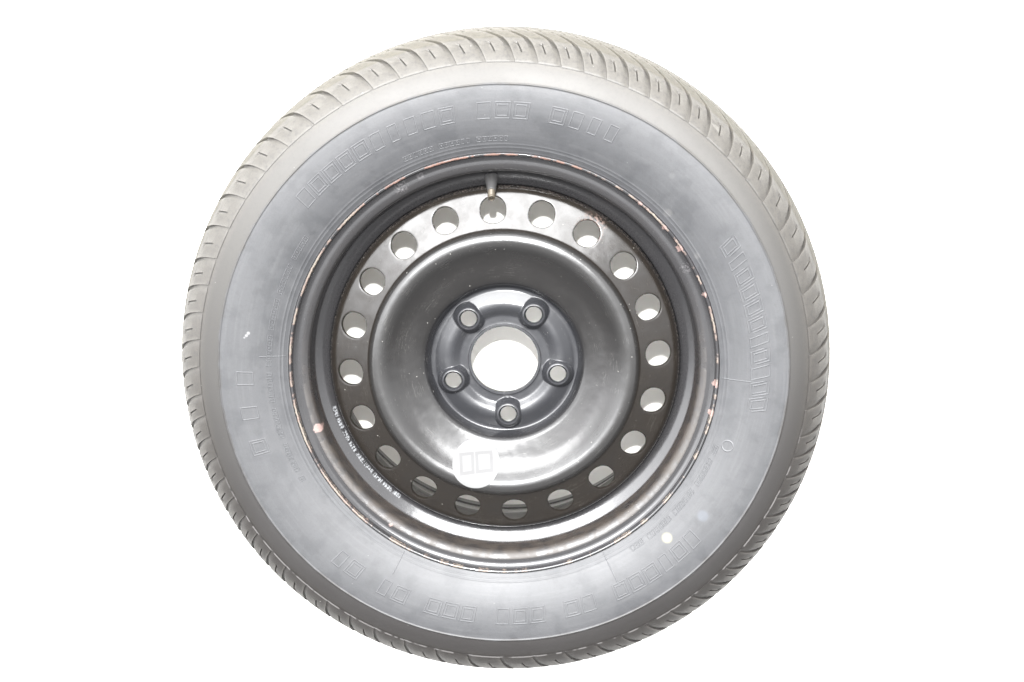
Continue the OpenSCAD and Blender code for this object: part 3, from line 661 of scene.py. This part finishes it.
# Materials
class Tree:
    """Short names for building the nodes of a material or of the world."""

    def __init__(self, owner):
        owner.use_nodes = True
        self.owner = owner
        self.nodes, self.links = owner.node_tree.nodes, owner.node_tree.links

    def node(self, kind, **inputs):
        n = self.nodes.new(kind)
        for key, value in inputs.items():
            self.put(n.inputs[int(key[1:]) if key[0] == "_" else key.replace("_", " ")], value)
        return n

    def put(self, socket, value):
        if isinstance(value, bpy.types.NodeSocket):
            self.links.new(value, socket)
        else:
            socket.default_value = value

    def math(self, op, a, b=0.0, c=0.0):
        n = self.node("ShaderNodeMath", _0=a, _1=b, _2=c)
        n.operation = op
        return n.outputs[0]

    def add(self, a, b):
        return self.math("ADD", a, b)

    def all_by(self, op, values):
        out = values[0]
        for value in values[1:]:
            out = self.math(op, out, value)
        return out

    def times(self, *factors):
        return self.all_by("MULTIPLY", factors)

    def most(self, *values):
        return self.all_by("MAXIMUM", values)

    def step(self, value, low, high, a=0.0, b=1.0):
        """A soft step from a at low to b at high."""
        n = self.node("ShaderNodeMapRange", _0=value, _1=low, _2=high, _3=a, _4=b)
        n.interpolation_type = "SMOOTHSTEP"
        return n.outputs[0]

    def between(self, value, low, high, soft=0.3):
        """1 where value lies between low and high, with soft edges."""
        return self.times(self.step(value, low - soft, low + soft),
                          self.step(value, high + soft, high - soft))

    def without(self, value):
        return self.math("SUBTRACT", 1.0, value)

    def noise(self, vector, scale, detail=4.0, rough=0.55):
        texture = self.node("ShaderNodeTexNoise", Vector=vector, Scale=scale, Detail=detail, Roughness=rough)
        return texture.outputs[0]

    def number_at(self, x, y):
        """A number from 0 to 1 that belongs to those two numbers."""
        place = self.node("ShaderNodeCombineXYZ", _0=x, _1=y).outputs[0]
        return self.node("ShaderNodeTexWhiteNoise", Vector=place).outputs[0]

    def length(self, a, b):
        return self.math("SQRT", self.add(self.times(a, a), self.times(b, b)))

    def specks(self, scale, size, share):
        """1 in small round specks: one in each cell of a grid whose own number is below share."""
        cells = self.node("ShaderNodeTexVoronoi", Vector=self.p, Scale=scale)
        near = self.step(cells.outputs["Distance"], size * 1.4, size * 0.6)
        number = self.node("ShaderNodeSeparateColor", _0=cells.outputs["Color"]).outputs[0]
        return self.times(near, self.math("LESS_THAN", number, share))

    def mix(self, share, a, b):
        n = self.nodes.new("ShaderNodeMix")
        n.data_type = "RGBA"
        for i, value in ((0, share), (6, a), (7, b)):
            self.put(n.inputs[i], (*value, 1.0) if isinstance(value, tuple) else value)
        return n.outputs[2]

    def paint(self, tint, *shares):
        """Lays a colour over the one that is there. The shares are multiplied."""
        self.color = self.mix(self.times(*shares), self.color, tint)

    def lerp(self, share, a, b):
        n = self.node("ShaderNodeMix", _0=share, _2=a, _3=b)
        return n.outputs[0]

    def place(self):
        """The place in mm, the radius, the height and a direction round the axis."""
        coords = self.nodes.new("ShaderNodeTexCoord").outputs["Object"]
        scaled = self.node("ShaderNodeVectorMath", _0=coords, _1=(1000.0, 1000.0, 1000.0))
        scaled.operation = "MULTIPLY"
        self.p = scaled.outputs[0]
        self.x, self.y, self.z = self.node("ShaderNodeSeparateXYZ", _0=self.p).outputs
        self.r = self.length(self.x, self.y)
        safe = self.math("MAXIMUM", self.r, 0.001)
        self.cos, self.sin = self.math("DIVIDE", self.x, safe), self.math("DIVIDE", self.y, safe)

    def angle(self):
        """The direction round the axis in degrees, from 0 to 360."""
        turn = self.math("ARCTAN2", self.y, self.x)
        return self.math("FLOORED_MODULO", self.times(turn, 180 / math.pi), 360.0)

    def ringwise(self, across, round_it, along_z=0.0):
        """Coordinates stretched round the axis: across counts per mm outwards, round_it per radian."""
        c = self.add(self.times(self.r, across), self.times(self.z, along_z))
        return self.node("ShaderNodeCombineXYZ", _0=self.times(self.cos, round_it),
                         _1=self.times(self.sin, round_it), _2=c).outputs[0]

    def from_spot(self, degrees, radius):
        """X and Y, in mm, from a spot at that direction and radius."""
        a = math.radians(degrees)
        return self.add(self.x, -radius * math.cos(a)), self.add(self.y, -radius * math.sin(a))

    def near(self, degrees, radius, size, soft=0.5):
        """1 inside a round spot at that place."""
        return self.step(self.length(*self.from_spot(degrees, radius)), size + soft, size - soft)

    def radial_line(self, degrees, low, high, width):
        """1 on a thin line outwards at that direction, from one radius to another."""
        a = math.radians(degrees)
        aside = self.add(self.times(self.x, -math.sin(a)), self.times(self.y, math.cos(a)))
        along = self.add(self.times(self.x, math.cos(a)), self.times(self.y, math.sin(a)))
        return self.times(self.line(aside, width), self.between(along, low, high, 0.8))

    def line(self, distance, width):
        """1 close to where a distance is 0."""
        return self.step(self.math("ABSOLUTE", distance), width, width * 0.3)

    def among(self, value, numbers):
        """1 where a whole number is one of those."""
        return self.most(*[self.math("COMPARE", value, float(n), 0.1) for n in numbers])

    def plates(self, angle, out, radius, height, pitch, lean, line):
        """Outlines of blank plates in a row round the axis, in the place of raised letters, and each plate's
        index. A point lies angle degrees round and out mm outwards from the row. pitch is in degrees."""
        count = self.times(angle, 1 / pitch)
        index = self.math("FLOOR", count)
        number = self.number_at(index, radius)
        pitch_mm = math.radians(pitch) * radius
        aside = self.times(self.add(self.math("SUBTRACT", count, index), -0.5), pitch_mm)
        aside = self.math("ABSOLUTE", self.add(aside, self.times(out, lean)))
        half = self.step(number, 0.05, 0.5, pitch_mm * 0.24, pitch_mm * 0.41)
        edge = self.most(self.math("SUBTRACT", aside, half),
                         self.add(self.math("ABSOLUTE", out), -height / 2))
        inner = self.line(self.add(edge, line * 3.4), line)
        inner = self.times(inner, self.math("GREATER_THAN", number, 0.4))
        return self.most(self.line(edge, line), inner), index

    def toward(self, degrees, width, soft):
        """1 in a sector round that direction, width to each side, all in degrees."""
        a = math.radians(degrees)
        c = self.add(self.times(self.cos, math.cos(a)), self.times(self.sin, math.sin(a)))
        limits = (width + soft, max(width - soft, 0))
        return self.step(c, *(math.cos(math.radians(limit)) for limit in limits))

    def bump(self, height, strength, distance=0.001, normal=None):
        n = self.node("ShaderNodeBump", Height=height, Strength=strength, Distance=distance)
        if normal is not None:
            self.put(n.inputs["Normal"], normal)
        return n.outputs[0]

    def finish(self, color, rough, normal=None, shine=None, **fixed):
        """Connects the colour, roughness, normal and specular level. The rest are fixed values."""
        shader = self.nodes["Principled BSDF"]
        for key, value in (("Base Color", color), ("Roughness", rough), ("Normal", normal),
                           ("Specular IOR Level", shine)):
            if value is not None:
                self.put(shader.inputs[key], value)
        for key, value in fixed.items():
            shader.inputs[key.replace("_", " ")].default_value = value
        return self.owner


# Marks on the tyre's front: direction in degrees, radius, size, share and colour
TYRE_MARKS = (
    (310.0, 244.0, 4.9, 0.9, (0.105, 0.100, 0.066)),
    (319.8, 254.6, 5.5, 0.25, (0.062, 0.070, 0.086)),
    (167.6, 259.6, 1.6, 0.8, (0.10, 0.10, 0.10)),
    (168.2, 261.2, 1.5, 0.8, (0.10, 0.10, 0.10)),
    (168.7, 263.0, 1.0, 0.6, (0.10, 0.10, 0.10)),
    (46.0, 259.0, 3.0, 0.3, (0.05, 0.05, 0.05)),
    (40.4, 229.5, 4.0, 0.3, (0.06, 0.058, 0.056)),
    (27.2, 226.5, 3.0, 0.3, (0.06, 0.058, 0.056)))
# Rows of blank raised plates on the tyre's front: radius, height, pitch in degrees, lean and width of line
BIG_PLATES = (262.0, 16.0, 4.0, 0.08, 0.75)
SIDE_PLATES = (259.5, 18.0, 3.68, -0.3, 0.8)
SMALL_PLATES = (234.0, 4.6, 1.32, 0.1, 0.5)
# From which direction to which they stand, and places left empty in the big row
BIG_PLATES_AT = ((60.0, 136.0), (224.0, 316.0), (176.0, 196.0))
SMALL_PLATES_AT = ((83.2, 110.9), (141.3, 205.9), (300.9, 336.6))
BLANK_PLATES = (19, 23, 45, 47, 58, 61, 65, 69, 72)
# Mould lines on the tyre's front: direction in degrees, and from which radius to which
MOULD_LINES = ((173.0, 222.0, 247.0), (353.9, 222.0, 250.0), (238.2, 222.0, 246.0), (294.1, 222.0, 258.0))
# Bare places on the rim: direction in degrees, radius and size. Smudges: the same and how soft they are.
RIM_CHIPS = ((195.2, 204.0, 4.6), (31.0, 216.0, 2.8), (38.0, 216.5, 2.4), (352.0, 216.5, 3.0),
             (344.0, 217.0, 2.6), (231.5, 208.0, 1.6), (47.0, 217.0, 2.2), (17.0, 217.0, 2.2))
RIM_SMUDGES = ((115.1, 211.0, 6.5, 2.5), (109.0, 212.5, 3.5, 2.0), (25.3, 211.0, 4.5, 3.0))
# Where the flange's edge is bare: direction, width to each side and softness, in degrees, and share
BARE_EDGE = ((150.0, 34.0, 8.0, 1.0), (206.0, 26.0, 8.0, 1.0), (285.0, 34.0, 10.0, 0.1),
             (28.0, 24.0, 8.0, 0.9), (92.0, 22.0, 8.0, 0.8))
# The frames printed on the sticker, in mm from its middle: the middle of each and half its sizes
STICKER_FRAMES = ((-9.5, 0.5, 6.0, 9.0), (8.5, 0.5, 7.5, 9.0))


def material(name):
    t = Tree(bpy.data.materials.new(name))
    t.place()
    return t


def raised_marks(t, front):
    """1 on the outlines of the raised plates, the ring and the mould lines of the tyre's front."""
    angle = t.angle()

    def standing(places):
        return t.most(*[t.between(angle, low, high, 0.05) for low, high in places])

    big, index = t.plates(angle, t.add(t.r, -BIG_PLATES[0]), *BIG_PLATES)
    big = t.times(big, standing(BIG_PLATES_AT), t.without(t.among(index, BLANK_PLATES)))
    turned_angle = t.math("FLOORED_MODULO", t.add(angle, 13.0), 360.0)
    side, index = t.plates(turned_angle, t.add(t.r, -SIDE_PLATES[0]), *SIDE_PLATES)
    side = t.times(side, t.math("LESS_THAN", index, 11.0))
    row_r = t.add(t.times(t.between(angle, 139.0, 208.0, 0.5), 4.2),
                  t.times(t.between(angle, 299.0, 338.0, 0.5), -2.0))
    small, index = t.plates(angle, t.math("SUBTRACT", t.add(t.r, -233.8), row_r), *SMALL_PLATES)
    words = t.math("GREATER_THAN", t.math("FLOORED_MODULO", index, 7.0), 0.5)
    small = t.times(small, standing(SMALL_PLATES_AT), words)
    ring = t.times(t.near(337.4, 241.5, 6.0), t.without(t.near(337.4, 241.5, 4.9)))
    lines = t.most(*[t.radial_line(*line, 0.7) for line in MOULD_LINES])
    return t.times(front, t.most(big, side, small, t.times(ring, 0.8), t.times(lines, 0.9)))


def tyre_material():
    t = material("dusty_tyre_rubber")
    front = t.step(t.z, 20.0, 40.0)
    fine = t.noise(t.p, 0.9, 6, 0.65)
    cloud = t.noise(t.p, 0.012, 3, 0.5)
    blotch = t.noise(t.p, 0.045, 4, 0.6)
    streak = t.noise(t.ringwise(0.25, 3.0), 1.0, 5, 0.6)
    grain = t.noise(t.p, 3.2, 3, 0.7)
    t.color = t.mix(cloud, (0.0212, 0.0218, 0.0236), (0.0280, 0.0287, 0.0306))
    t.paint((0.034, 0.0345, 0.036), t.step(streak, 0.45, 0.7, 0, 0.5))
    t.paint((0.0138, 0.0146, 0.0164), t.step(blotch, 0.47, 0.66, 0, 0.5))
    # the band outside the raised ring, the shoulder and the crown: darker below as painted shade and lighter
    # above as painted light
    outer = t.step(t.add(t.r, t.times(t.add(blotch, -0.5), 8.0)), 285.6, 289.6)
    t.paint((0.0168, 0.0158, 0.0146), outer)
    shoulder = t.step(t.r, 300.0, 311.0)
    dust = t.times(t.lerp(shoulder, 0.08, 0.55), t.step(fine, 0.35, 0.68, 0.45, 1.0))
    t.paint((0.047, 0.0425, 0.036), dust)
    # painted shade: the outer band darker on the lower half
    painted_shade_below = t.times(t.step(t.sin, 0.25, -0.6, 0.0, 0.75), outer)
    t.paint(t.mix(dust, (0.0088, 0.0078, 0.0077), (0.0165, 0.0149, 0.0145)), painted_shade_below)
    # painted light: the outer band lighter on the upper half
    painted_light_above = t.times(t.step(t.sin, 0.1, 0.9, 0.0, 0.4), outer)
    t.paint(t.mix(dust, (0.044, 0.041, 0.036), (0.072, 0.067, 0.057)), painted_light_above)
    crown = t.step(t.r, 329.5, 333.0)
    # the crown: beige dust, with painted shade on its lower half
    t.paint(t.mix(painted_shade_below, (0.060, 0.055, 0.044), (0.0135, 0.0124, 0.0118)), crown, 0.75)
    mottle = t.noise(t.p, 0.28, 5, 0.7)
    t.paint((0.015, 0.0142, 0.0138), t.step(mottle, 0.46, 0.66), t.lerp(shoulder, 0.2, 0.5))
    # painted shade: a dark line in the crease at the foot of the blocks, with painted highlight dashes on the
    # lower half
    t.paint((0.007, 0.007, 0.007), t.between(t.r, 307.7, 309.0, 0.4), front, 0.25)
    highlight_dashes = t.step(t.noise(t.ringwise(0.0, 26.0), 1.0, 1, 0.3), 0.44, 0.5)
    t.paint((0.075, 0.072, 0.070), t.between(t.r, 308.4, 309.7, 0.3), front,
            t.step(t.sin, -0.15, -0.5), highlight_dashes, 0.7)
    # worn edges, painted shade in the hollows, pale specks and single marks
    sharp = t.nodes.new("ShaderNodeNewGeometry").outputs["Pointiness"]
    t.paint((0.080, 0.076, 0.069), t.step(sharp, 0.515, 0.56), t.step(fine, 0.3, 0.6, 0.3, 1.0),
            t.step(t.r, 310.5, 312.0), 0.65)
    # painted shade: darker where the shoulder is hollow
    t.paint((0.008, 0.0076, 0.007), t.step(sharp, 0.485, 0.44), t.step(t.r, 303.0, 307.0), 0.6)
    t.paint((0.20, 0.20, 0.19), t.specks(0.11, 0.055, 0.10), t.lerp(shoulder, 0.25, 1.0), 0.8)
    for degrees, radius, size, share, tint in TYRE_MARKS:
        t.paint(tint, t.near(degrees, radius, size, size * 0.35), front, share)
    raised = raised_marks(t, front)
    t.paint((0.06, 0.061, 0.063), raised, 0.3)
    normal = t.bump(t.add(t.times(grain, 0.35), t.times(fine, 0.65)), 0.32, 0.0006)
    normal = t.bump(raised, 0.9, 0.00035, normal)
    rough = t.add(t.step(cloud, 0.3, 0.7, 0.46, 0.53), t.times(crown, 0.2))
    shine = t.times(t.lerp(crown, 0.34, 0.12), t.without(t.times(painted_shade_below, shoulder, 0.8)))
    return t.finish(t.color, rough, normal, shine)


def disc_paint():
    t = material("gloss_black_paint")
    peel = t.noise(t.p, 0.16, 2, 0.5)
    wavy = t.noise(t.p, 0.035, 2, 0.5)
    smear = t.noise(t.ringwise(0.05, 2.0, 0.05), 1.0, 4, 0.6)
    film = t.noise(t.p, 0.05, 5, 0.6)
    fine = t.noise(t.p, 1.1, 4, 0.6)
    t.color = t.mix(smear, (0.0042, 0.0039, 0.0038), (0.0070, 0.0064, 0.0060))
    # the pad and its groove, the crown, lighter as dust and a painted highlight, and a brown film on the band
    # of the vents
    t.paint(t.mix(smear, (0.0100, 0.0103, 0.0116), (0.0135, 0.0136, 0.0148)), t.step(t.r, 86.0, 76.0))
    # the crown: lighter all round, partly dust and partly a painted highlight
    t.paint(t.mix(fine, (0.0115, 0.0112, 0.0110), (0.0205, 0.0200, 0.0195)),
            t.between(t.r, 122.0, 138.0, 5.0), 0.7)
    band = t.between(t.r, 139.0, 181.0, 2.0)
    t.paint(t.mix(film, (0.0046, 0.0038, 0.0032), (0.0098, 0.0080, 0.0063)), band, 0.85)
    # dust and scratches, a stain, and dirt where the disc meets the rim
    scratch = t.math("ABSOLUTE", t.add(t.noise(t.ringwise(1.4, 1.6), 1.0, 2, 0.4), -0.5))
    scratch = t.times(t.step(scratch, 0.006, 0.001), t.step(film, 0.52, 0.66), 0.35)
    dust = t.most(t.specks(0.13, 0.06, 0.22), t.times(t.specks(0.31, 0.07, 0.10), 0.7), scratch)
    t.paint((0.16, 0.155, 0.14), dust, 0.75)
    stain = t.times(t.near(53.8, 166.0, 13.5, 5.0), t.step(t.noise(t.p, 0.35, 5, 0.65), 0.47, 0.6))
    t.paint((0.110, 0.074, 0.062), stain, 0.6)
    joint = t.times(t.step(t.r, 179.6, 181.6), t.step(t.z, 40.0, 47.0),
                    t.step(t.noise(t.p, 0.5, 4, 0.6), 0.5, 0.62))
    t.paint((0.045, 0.034, 0.028), joint, 0.6)
    rough = t.add(t.step(smear, 0.35, 0.75, 0.21, 0.29), t.times(t.most(dust, stain, joint), 0.35))
    normal = t.bump(wavy, 0.35, 0.0016)
    normal = t.bump(peel, 0.07, 0.001, normal)
    normal = t.bump(fine, 0.05, 0.0003, normal)
    # less shine in the groove, in the lower part of the bowl and on the film
    groove = t.times(t.between(t.r, 62.0, 75.0, 2.5), -0.11)
    bowl = t.times(t.toward(290.0, 40.0, 20.0), t.between(t.r, 84.0, 118.0, 3.0), -0.10)
    shine = t.add(t.step(t.r, 74.0, 90.0, 0.42, 0.5), t.add(groove, bowl))
    return t.finish(t.color, rough, normal, t.lerp(band, shine, t.step(film, 0.35, 0.65, 0.37, 0.28)))


def rim_paint():
    t = material("rusty_black_paint")
    peel = t.noise(t.p, 0.16, 2, 0.5)
    smear = t.noise(t.ringwise(0.05, 2.0, 0.05), 1.0, 4, 0.6)
    film = t.noise(t.p, 0.08, 5, 0.6)
    fine = t.noise(t.p, 0.9, 5, 0.65)
    t.color = t.mix(smear, (0.0105, 0.0103, 0.0110), (0.0175, 0.0170, 0.0173))
    # the bead seat: a brown film with pale dots
    seat = t.times(t.between(t.r, 196.5, 207.5, 1.2), t.between(t.z, 58.0, 92.0, 2.0),
                   t.step(film, 0.36, 0.6, 0.35, 1.0), t.step(t.sin, 0.3, -0.5, 0.1, 1.0))
    t.paint((0.0165, 0.0128, 0.0100), seat)
    dots = t.times(t.specks(0.22, 0.085, 0.32), t.add(t.times(seat, 0.9), 0.12))
    dots = t.most(dots, t.times(t.specks(0.36, 0.08, 0.12), 0.4))
    t.paint((0.12, 0.115, 0.105), dots)
    # bare and rusty places on the flange's edge, redder at the top
    ring_noise = t.noise(t.ringwise(0.0, 10.0), 1.0, 3, 0.6)
    jagged = t.add(t.r, t.times(t.add(t.noise(t.p, 0.3, 4, 0.6), -0.5), 3.2))
    edge = t.times(t.between(jagged, 216.7, 218.5, 0.4), t.step(t.z, 86.0, 90.0))
    bare = t.most(*[t.times(t.toward(*sector), share) for *sector, share in BARE_EDGE])
    worn = t.times(edge, t.step(t.add(ring_noise, t.times(bare, 0.075)), 0.50, 0.58),
                   t.step(fine, 0.36, 0.5, 0.75, 1.0))
    rust = t.mix(t.step(ring_noise, 0.45, 0.65), (0.080, 0.055, 0.045), (0.090, 0.076, 0.060))
    rust = t.mix(t.times(t.toward(92.0, 32.0, 10.0), 0.75), rust, (0.075, 0.032, 0.022))
    t.paint(rust, worn, 0.9)
    # smudges and chips
    in_front = t.step(t.z, 60.0, 64.0)
    jag = t.times(t.add(t.noise(t.p, 0.22, 5, 0.7), -0.5), 9.0)
    chips = t.most(*[t.step(t.add(t.length(*t.from_spot(degrees, radius)), jag), size + 0.6, size - 0.6)
                     for degrees, radius, size in RIM_CHIPS])
    chips = t.times(chips, in_front)
    smudge = t.most(*[t.near(*spot) for spot in RIM_SMUDGES])
    t.paint((0.062, 0.059, 0.060), smudge, t.step(t.noise(t.p, 0.45, 5, 0.7), 0.46, 0.62), in_front, 0.8)
    t.paint(t.mix(t.step(fine, 0.35, 0.65), (0.085, 0.053, 0.046), (0.122, 0.086, 0.077)), chips)
    # short white dashes in the place of a printed line
    angle = t.angle()
    inside = t.times(t.between(t.r, 185.6, 189.2, 0.25), t.between(t.z, 45.0, 56.0, 1.0),
                     t.between(angle, 191.5, 229.5, 0.1))
    dash = t.number_at(t.math("FLOOR", t.times(angle, 3.1)), t.math("FLOOR", t.times(t.r, 0.95)))
    gap = t.math("FRACT", t.times(angle, 0.23))
    letter = t.math("FRACT", t.times(angle, 1.03))
    ink = t.times(inside, t.math("GREATER_THAN", dash, 0.36), t.math("GREATER_THAN", gap, 0.16),
                  t.math("LESS_THAN", letter, 0.78))
    t.paint((0.105, 0.108, 0.112), ink, 0.8)
    dull = t.most(seat, worn, chips, ink, dots)
    rough = t.add(t.step(smear, 0.35, 0.75, 0.13, 0.22), t.times(dull, 0.4))
    normal = t.bump(peel, 0.06, 0.001)
    normal = t.bump(t.times(fine, t.most(seat, worn, chips)), 0.5, 0.0006, normal)
    return t.finish(t.color, rough, normal, t.step(t.r, 217.4, 218.6, 0.5, 0.26))


def plain_material(name, a, b, rough, scale=1.1, grain=4.0, strength=0.1, height=0.0002, metal=0.0):
    """One colour with soft clouds. Without a size for the grain, the clouds are the grain."""
    t = material(name)
    n = t.noise(t.p, scale, 4, 0.6)
    bumps = t.noise(t.p, grain, 3, 0.6) if grain else n
    return t.finish(t.mix(n, a, b), t.step(n, 0.3, 0.7, *rough), t.bump(bumps, strength, height),
                    Metallic=metal)


def sticker_material():
    t = material("white_sticker")
    n = t.noise(t.p, 0.3, 4, 0.6)
    t.color = t.mix(n, (0.086, 0.086, 0.085), (0.096, 0.096, 0.095))
    x, y = t.from_spot(*STICKER[:2])
    # two faint grey frames in the place of the print
    frames = []
    for cx, cy, half_w, half_h in STICKER_FRAMES:
        edge = t.most(t.add(t.math("ABSOLUTE", t.add(x, -cx)), -half_w),
                      t.add(t.math("ABSOLUTE", t.add(y, -cy)), -half_h))
        frames.append(t.step(t.math("ABSOLUTE", edge), 2.0, 1.4))
    t.paint((0.063, 0.062, 0.062), t.most(*frames), 0.7)
    return t.finish(t.color, t.step(n, 0.3, 0.7, 0.6, 0.68), t.bump(n, 0.05, 0.0004), 0.06)


def floor_material():
    t = material("pale_floor")
    n = t.noise(t.p, 0.004, 4, 0.5)
    # the floor glows faintly: painted light that lifts its shade under the wheel
    return t.finish(t.mix(n, (0.70, 0.69, 0.66), (0.75, 0.74, 0.71)), 0.75,
                    Emission_Color=(1.0, 0.93, 0.80, 1.0), Emission_Strength=0.155)


def cover(mesh, surface):
    mesh.materials.clear()
    mesh.materials.append(surface)


def dress(obj, surface, body, node):
    cover(obj.data, surface)
    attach(obj, body)
    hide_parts(node)


TYRE = tyre_material()
PAINT = disc_paint()
RIM_PAINT = rim_paint()
RUBBER = plain_material("valve_rubber", (0.014, 0.014, 0.015), (0.03, 0.029, 0.028), (0.42, 0.62),
                        0.8, 3.0, 0.15, 0.0004)
BRASS = plain_material("dull_brass", (0.060, 0.050, 0.036), (0.034, 0.028, 0.021), (0.45, 0.55), metal=0.5)
STEEL = plain_material("spring_steel", (0.55, 0.55, 0.55), (0.4, 0.4, 0.4), (0.25, 0.4), metal=1.0)
SEAL = plain_material("seal_red", (0.42, 0.05, 0.03), (0.3, 0.035, 0.02), (0.5, 0.7), 2.0, None)

rubber, stem = make_valve()
for obj, surface, node, slot in (
        (make_rim(), RIM_PAINT, "rim", "black_paint"),
        (make_disc(), PAINT, "wheel_disc", "black_paint"),
        (make_casing(), TYRE, "tyre", "tyre_rubber"),
        (make_tread(), TYRE, "tyre", "tyre_rubber"),
        (rubber, RUBBER, "valve_rubber", "valve_rubber"),
        (stem, BRASS, "valve_stem", "brass"),
        (make_sticker(), sticker_material(), "sticker", "sticker_film")):
    dress(obj, surface, "wheel", node)

for node, surface in (("disc_welds", PAINT), ("core_barrel", BRASS), ("core_pin", BRASS),
                      ("core_gasket", SEAL), ("core_seal", RUBBER), ("core_spring", STEEL)):
    cover(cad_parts[node].data, surface)

# Floor, lights and camera, in metres
CAMERA = Vector((0.0830, 0.3573, 1.6818))
CAMERA_RIGHT = Vector((0.99713, -0.06921, -0.03082))
CAMERA_BACK = Vector((0.04432, 0.20286, 0.9782))
LENS, SENSOR = 56.25, 36.0
WINDOW = Vector((-0.15, 0.54, 0.83)).normalized()
WINDOW_SIZE = (2.4, 1.25)
WINDOW_PLACE = WINDOW * 2.2 + Vector((0.27, 0.0, 0.0))
WINDOW_POWER = 25.0 * math.pi * WINDOW_SIZE[0] * WINDOW_SIZE[1]
FLASH_SIZE = (0.02, 0.02)
FLASH_PLACE = CAMERA + Vector((0.0, 0.175, 0.04))
FLASH_POWER = 60.0

bpy.ops.mesh.primitive_plane_add(size=24, location=(0, 0, CAD_BOX[0][2]))
floor = bpy.context.object
floor.name = "floor"
floor.data.materials.append(floor_material())


def area_light(name, place, size, power):
    """A soft box that looks at the middle of the wheel."""
    data = bpy.data.lights.new(name, "AREA")
    data.shape = "RECTANGLE"
    data.size, data.size_y = size
    data.energy = power
    obj = bpy.data.objects.new(name, data)
    bpy.context.collection.objects.link(obj)
    obj.location = place
    obj.rotation_euler = (-place).to_track_quat("-Z", "Y").to_euler()
    return obj


window = area_light("window", WINDOW_PLACE, WINDOW_SIZE, WINDOW_POWER)
area_light("flash", FLASH_PLACE, FLASH_SIZE, FLASH_POWER)
unlit = bpy.data.collections.new("not_lit_by_the_window")
unlit.objects.link(floor)
window.light_linking.receiver_collection = unlit
unlit.collection_objects[0].light_linking.link_state = "EXCLUDE"


def studio_world():
    """White walls round the camera: brighter to the left and towards the soft box, darker below."""
    world = bpy.data.worlds.new("studio")
    t = Tree(world)
    direction = t.nodes.new("ShaderNodeTexCoord").outputs["Generated"]
    x, y, _ = t.node("ShaderNodeSeparateXYZ", _0=direction).outputs
    walls = t.step(y, -0.5, 0.15, 1.0, 4.2)
    left = t.times(t.step(x, -0.25, -0.6), t.step(y, -0.25, 0.15), 4.5)
    facing = t.node("ShaderNodeVectorMath", _0=direction, _1=tuple(WINDOW))
    facing.operation = "DOT_PRODUCT"
    rim_of_glow, core_of_glow = (math.cos(math.radians(a)) for a in (48, 22))
    glow = t.step(facing.outputs["Value"], rim_of_glow, core_of_glow, 0.0, 7.0)
    background = t.nodes["Background"]
    t.put(background.inputs[0], (0.97, 0.98, 1.0, 1.0))
    t.put(background.inputs[1], t.add(walls, t.add(left, glow)))
    return world


bpy.context.scene.world = studio_world()
bpy.context.scene.view_settings.view_transform = "Standard"

camera = bpy.data.objects.new("camera", bpy.data.cameras.new("camera"))
bpy.context.collection.objects.link(camera)
camera.data.sensor_fit = "HORIZONTAL"
camera.data.sensor_width = SENSOR
camera.data.lens = LENS
camera.data.clip_end = 60
back = CAMERA_BACK.normalized()
up = back.cross(CAMERA_RIGHT.normalized()).normalized()
pose = Matrix((up.cross(back), up, back)).transposed().to_4x4()
pose.translation = CAMERA
camera.matrix_world = pose
bpy.context.scene.camera = camera
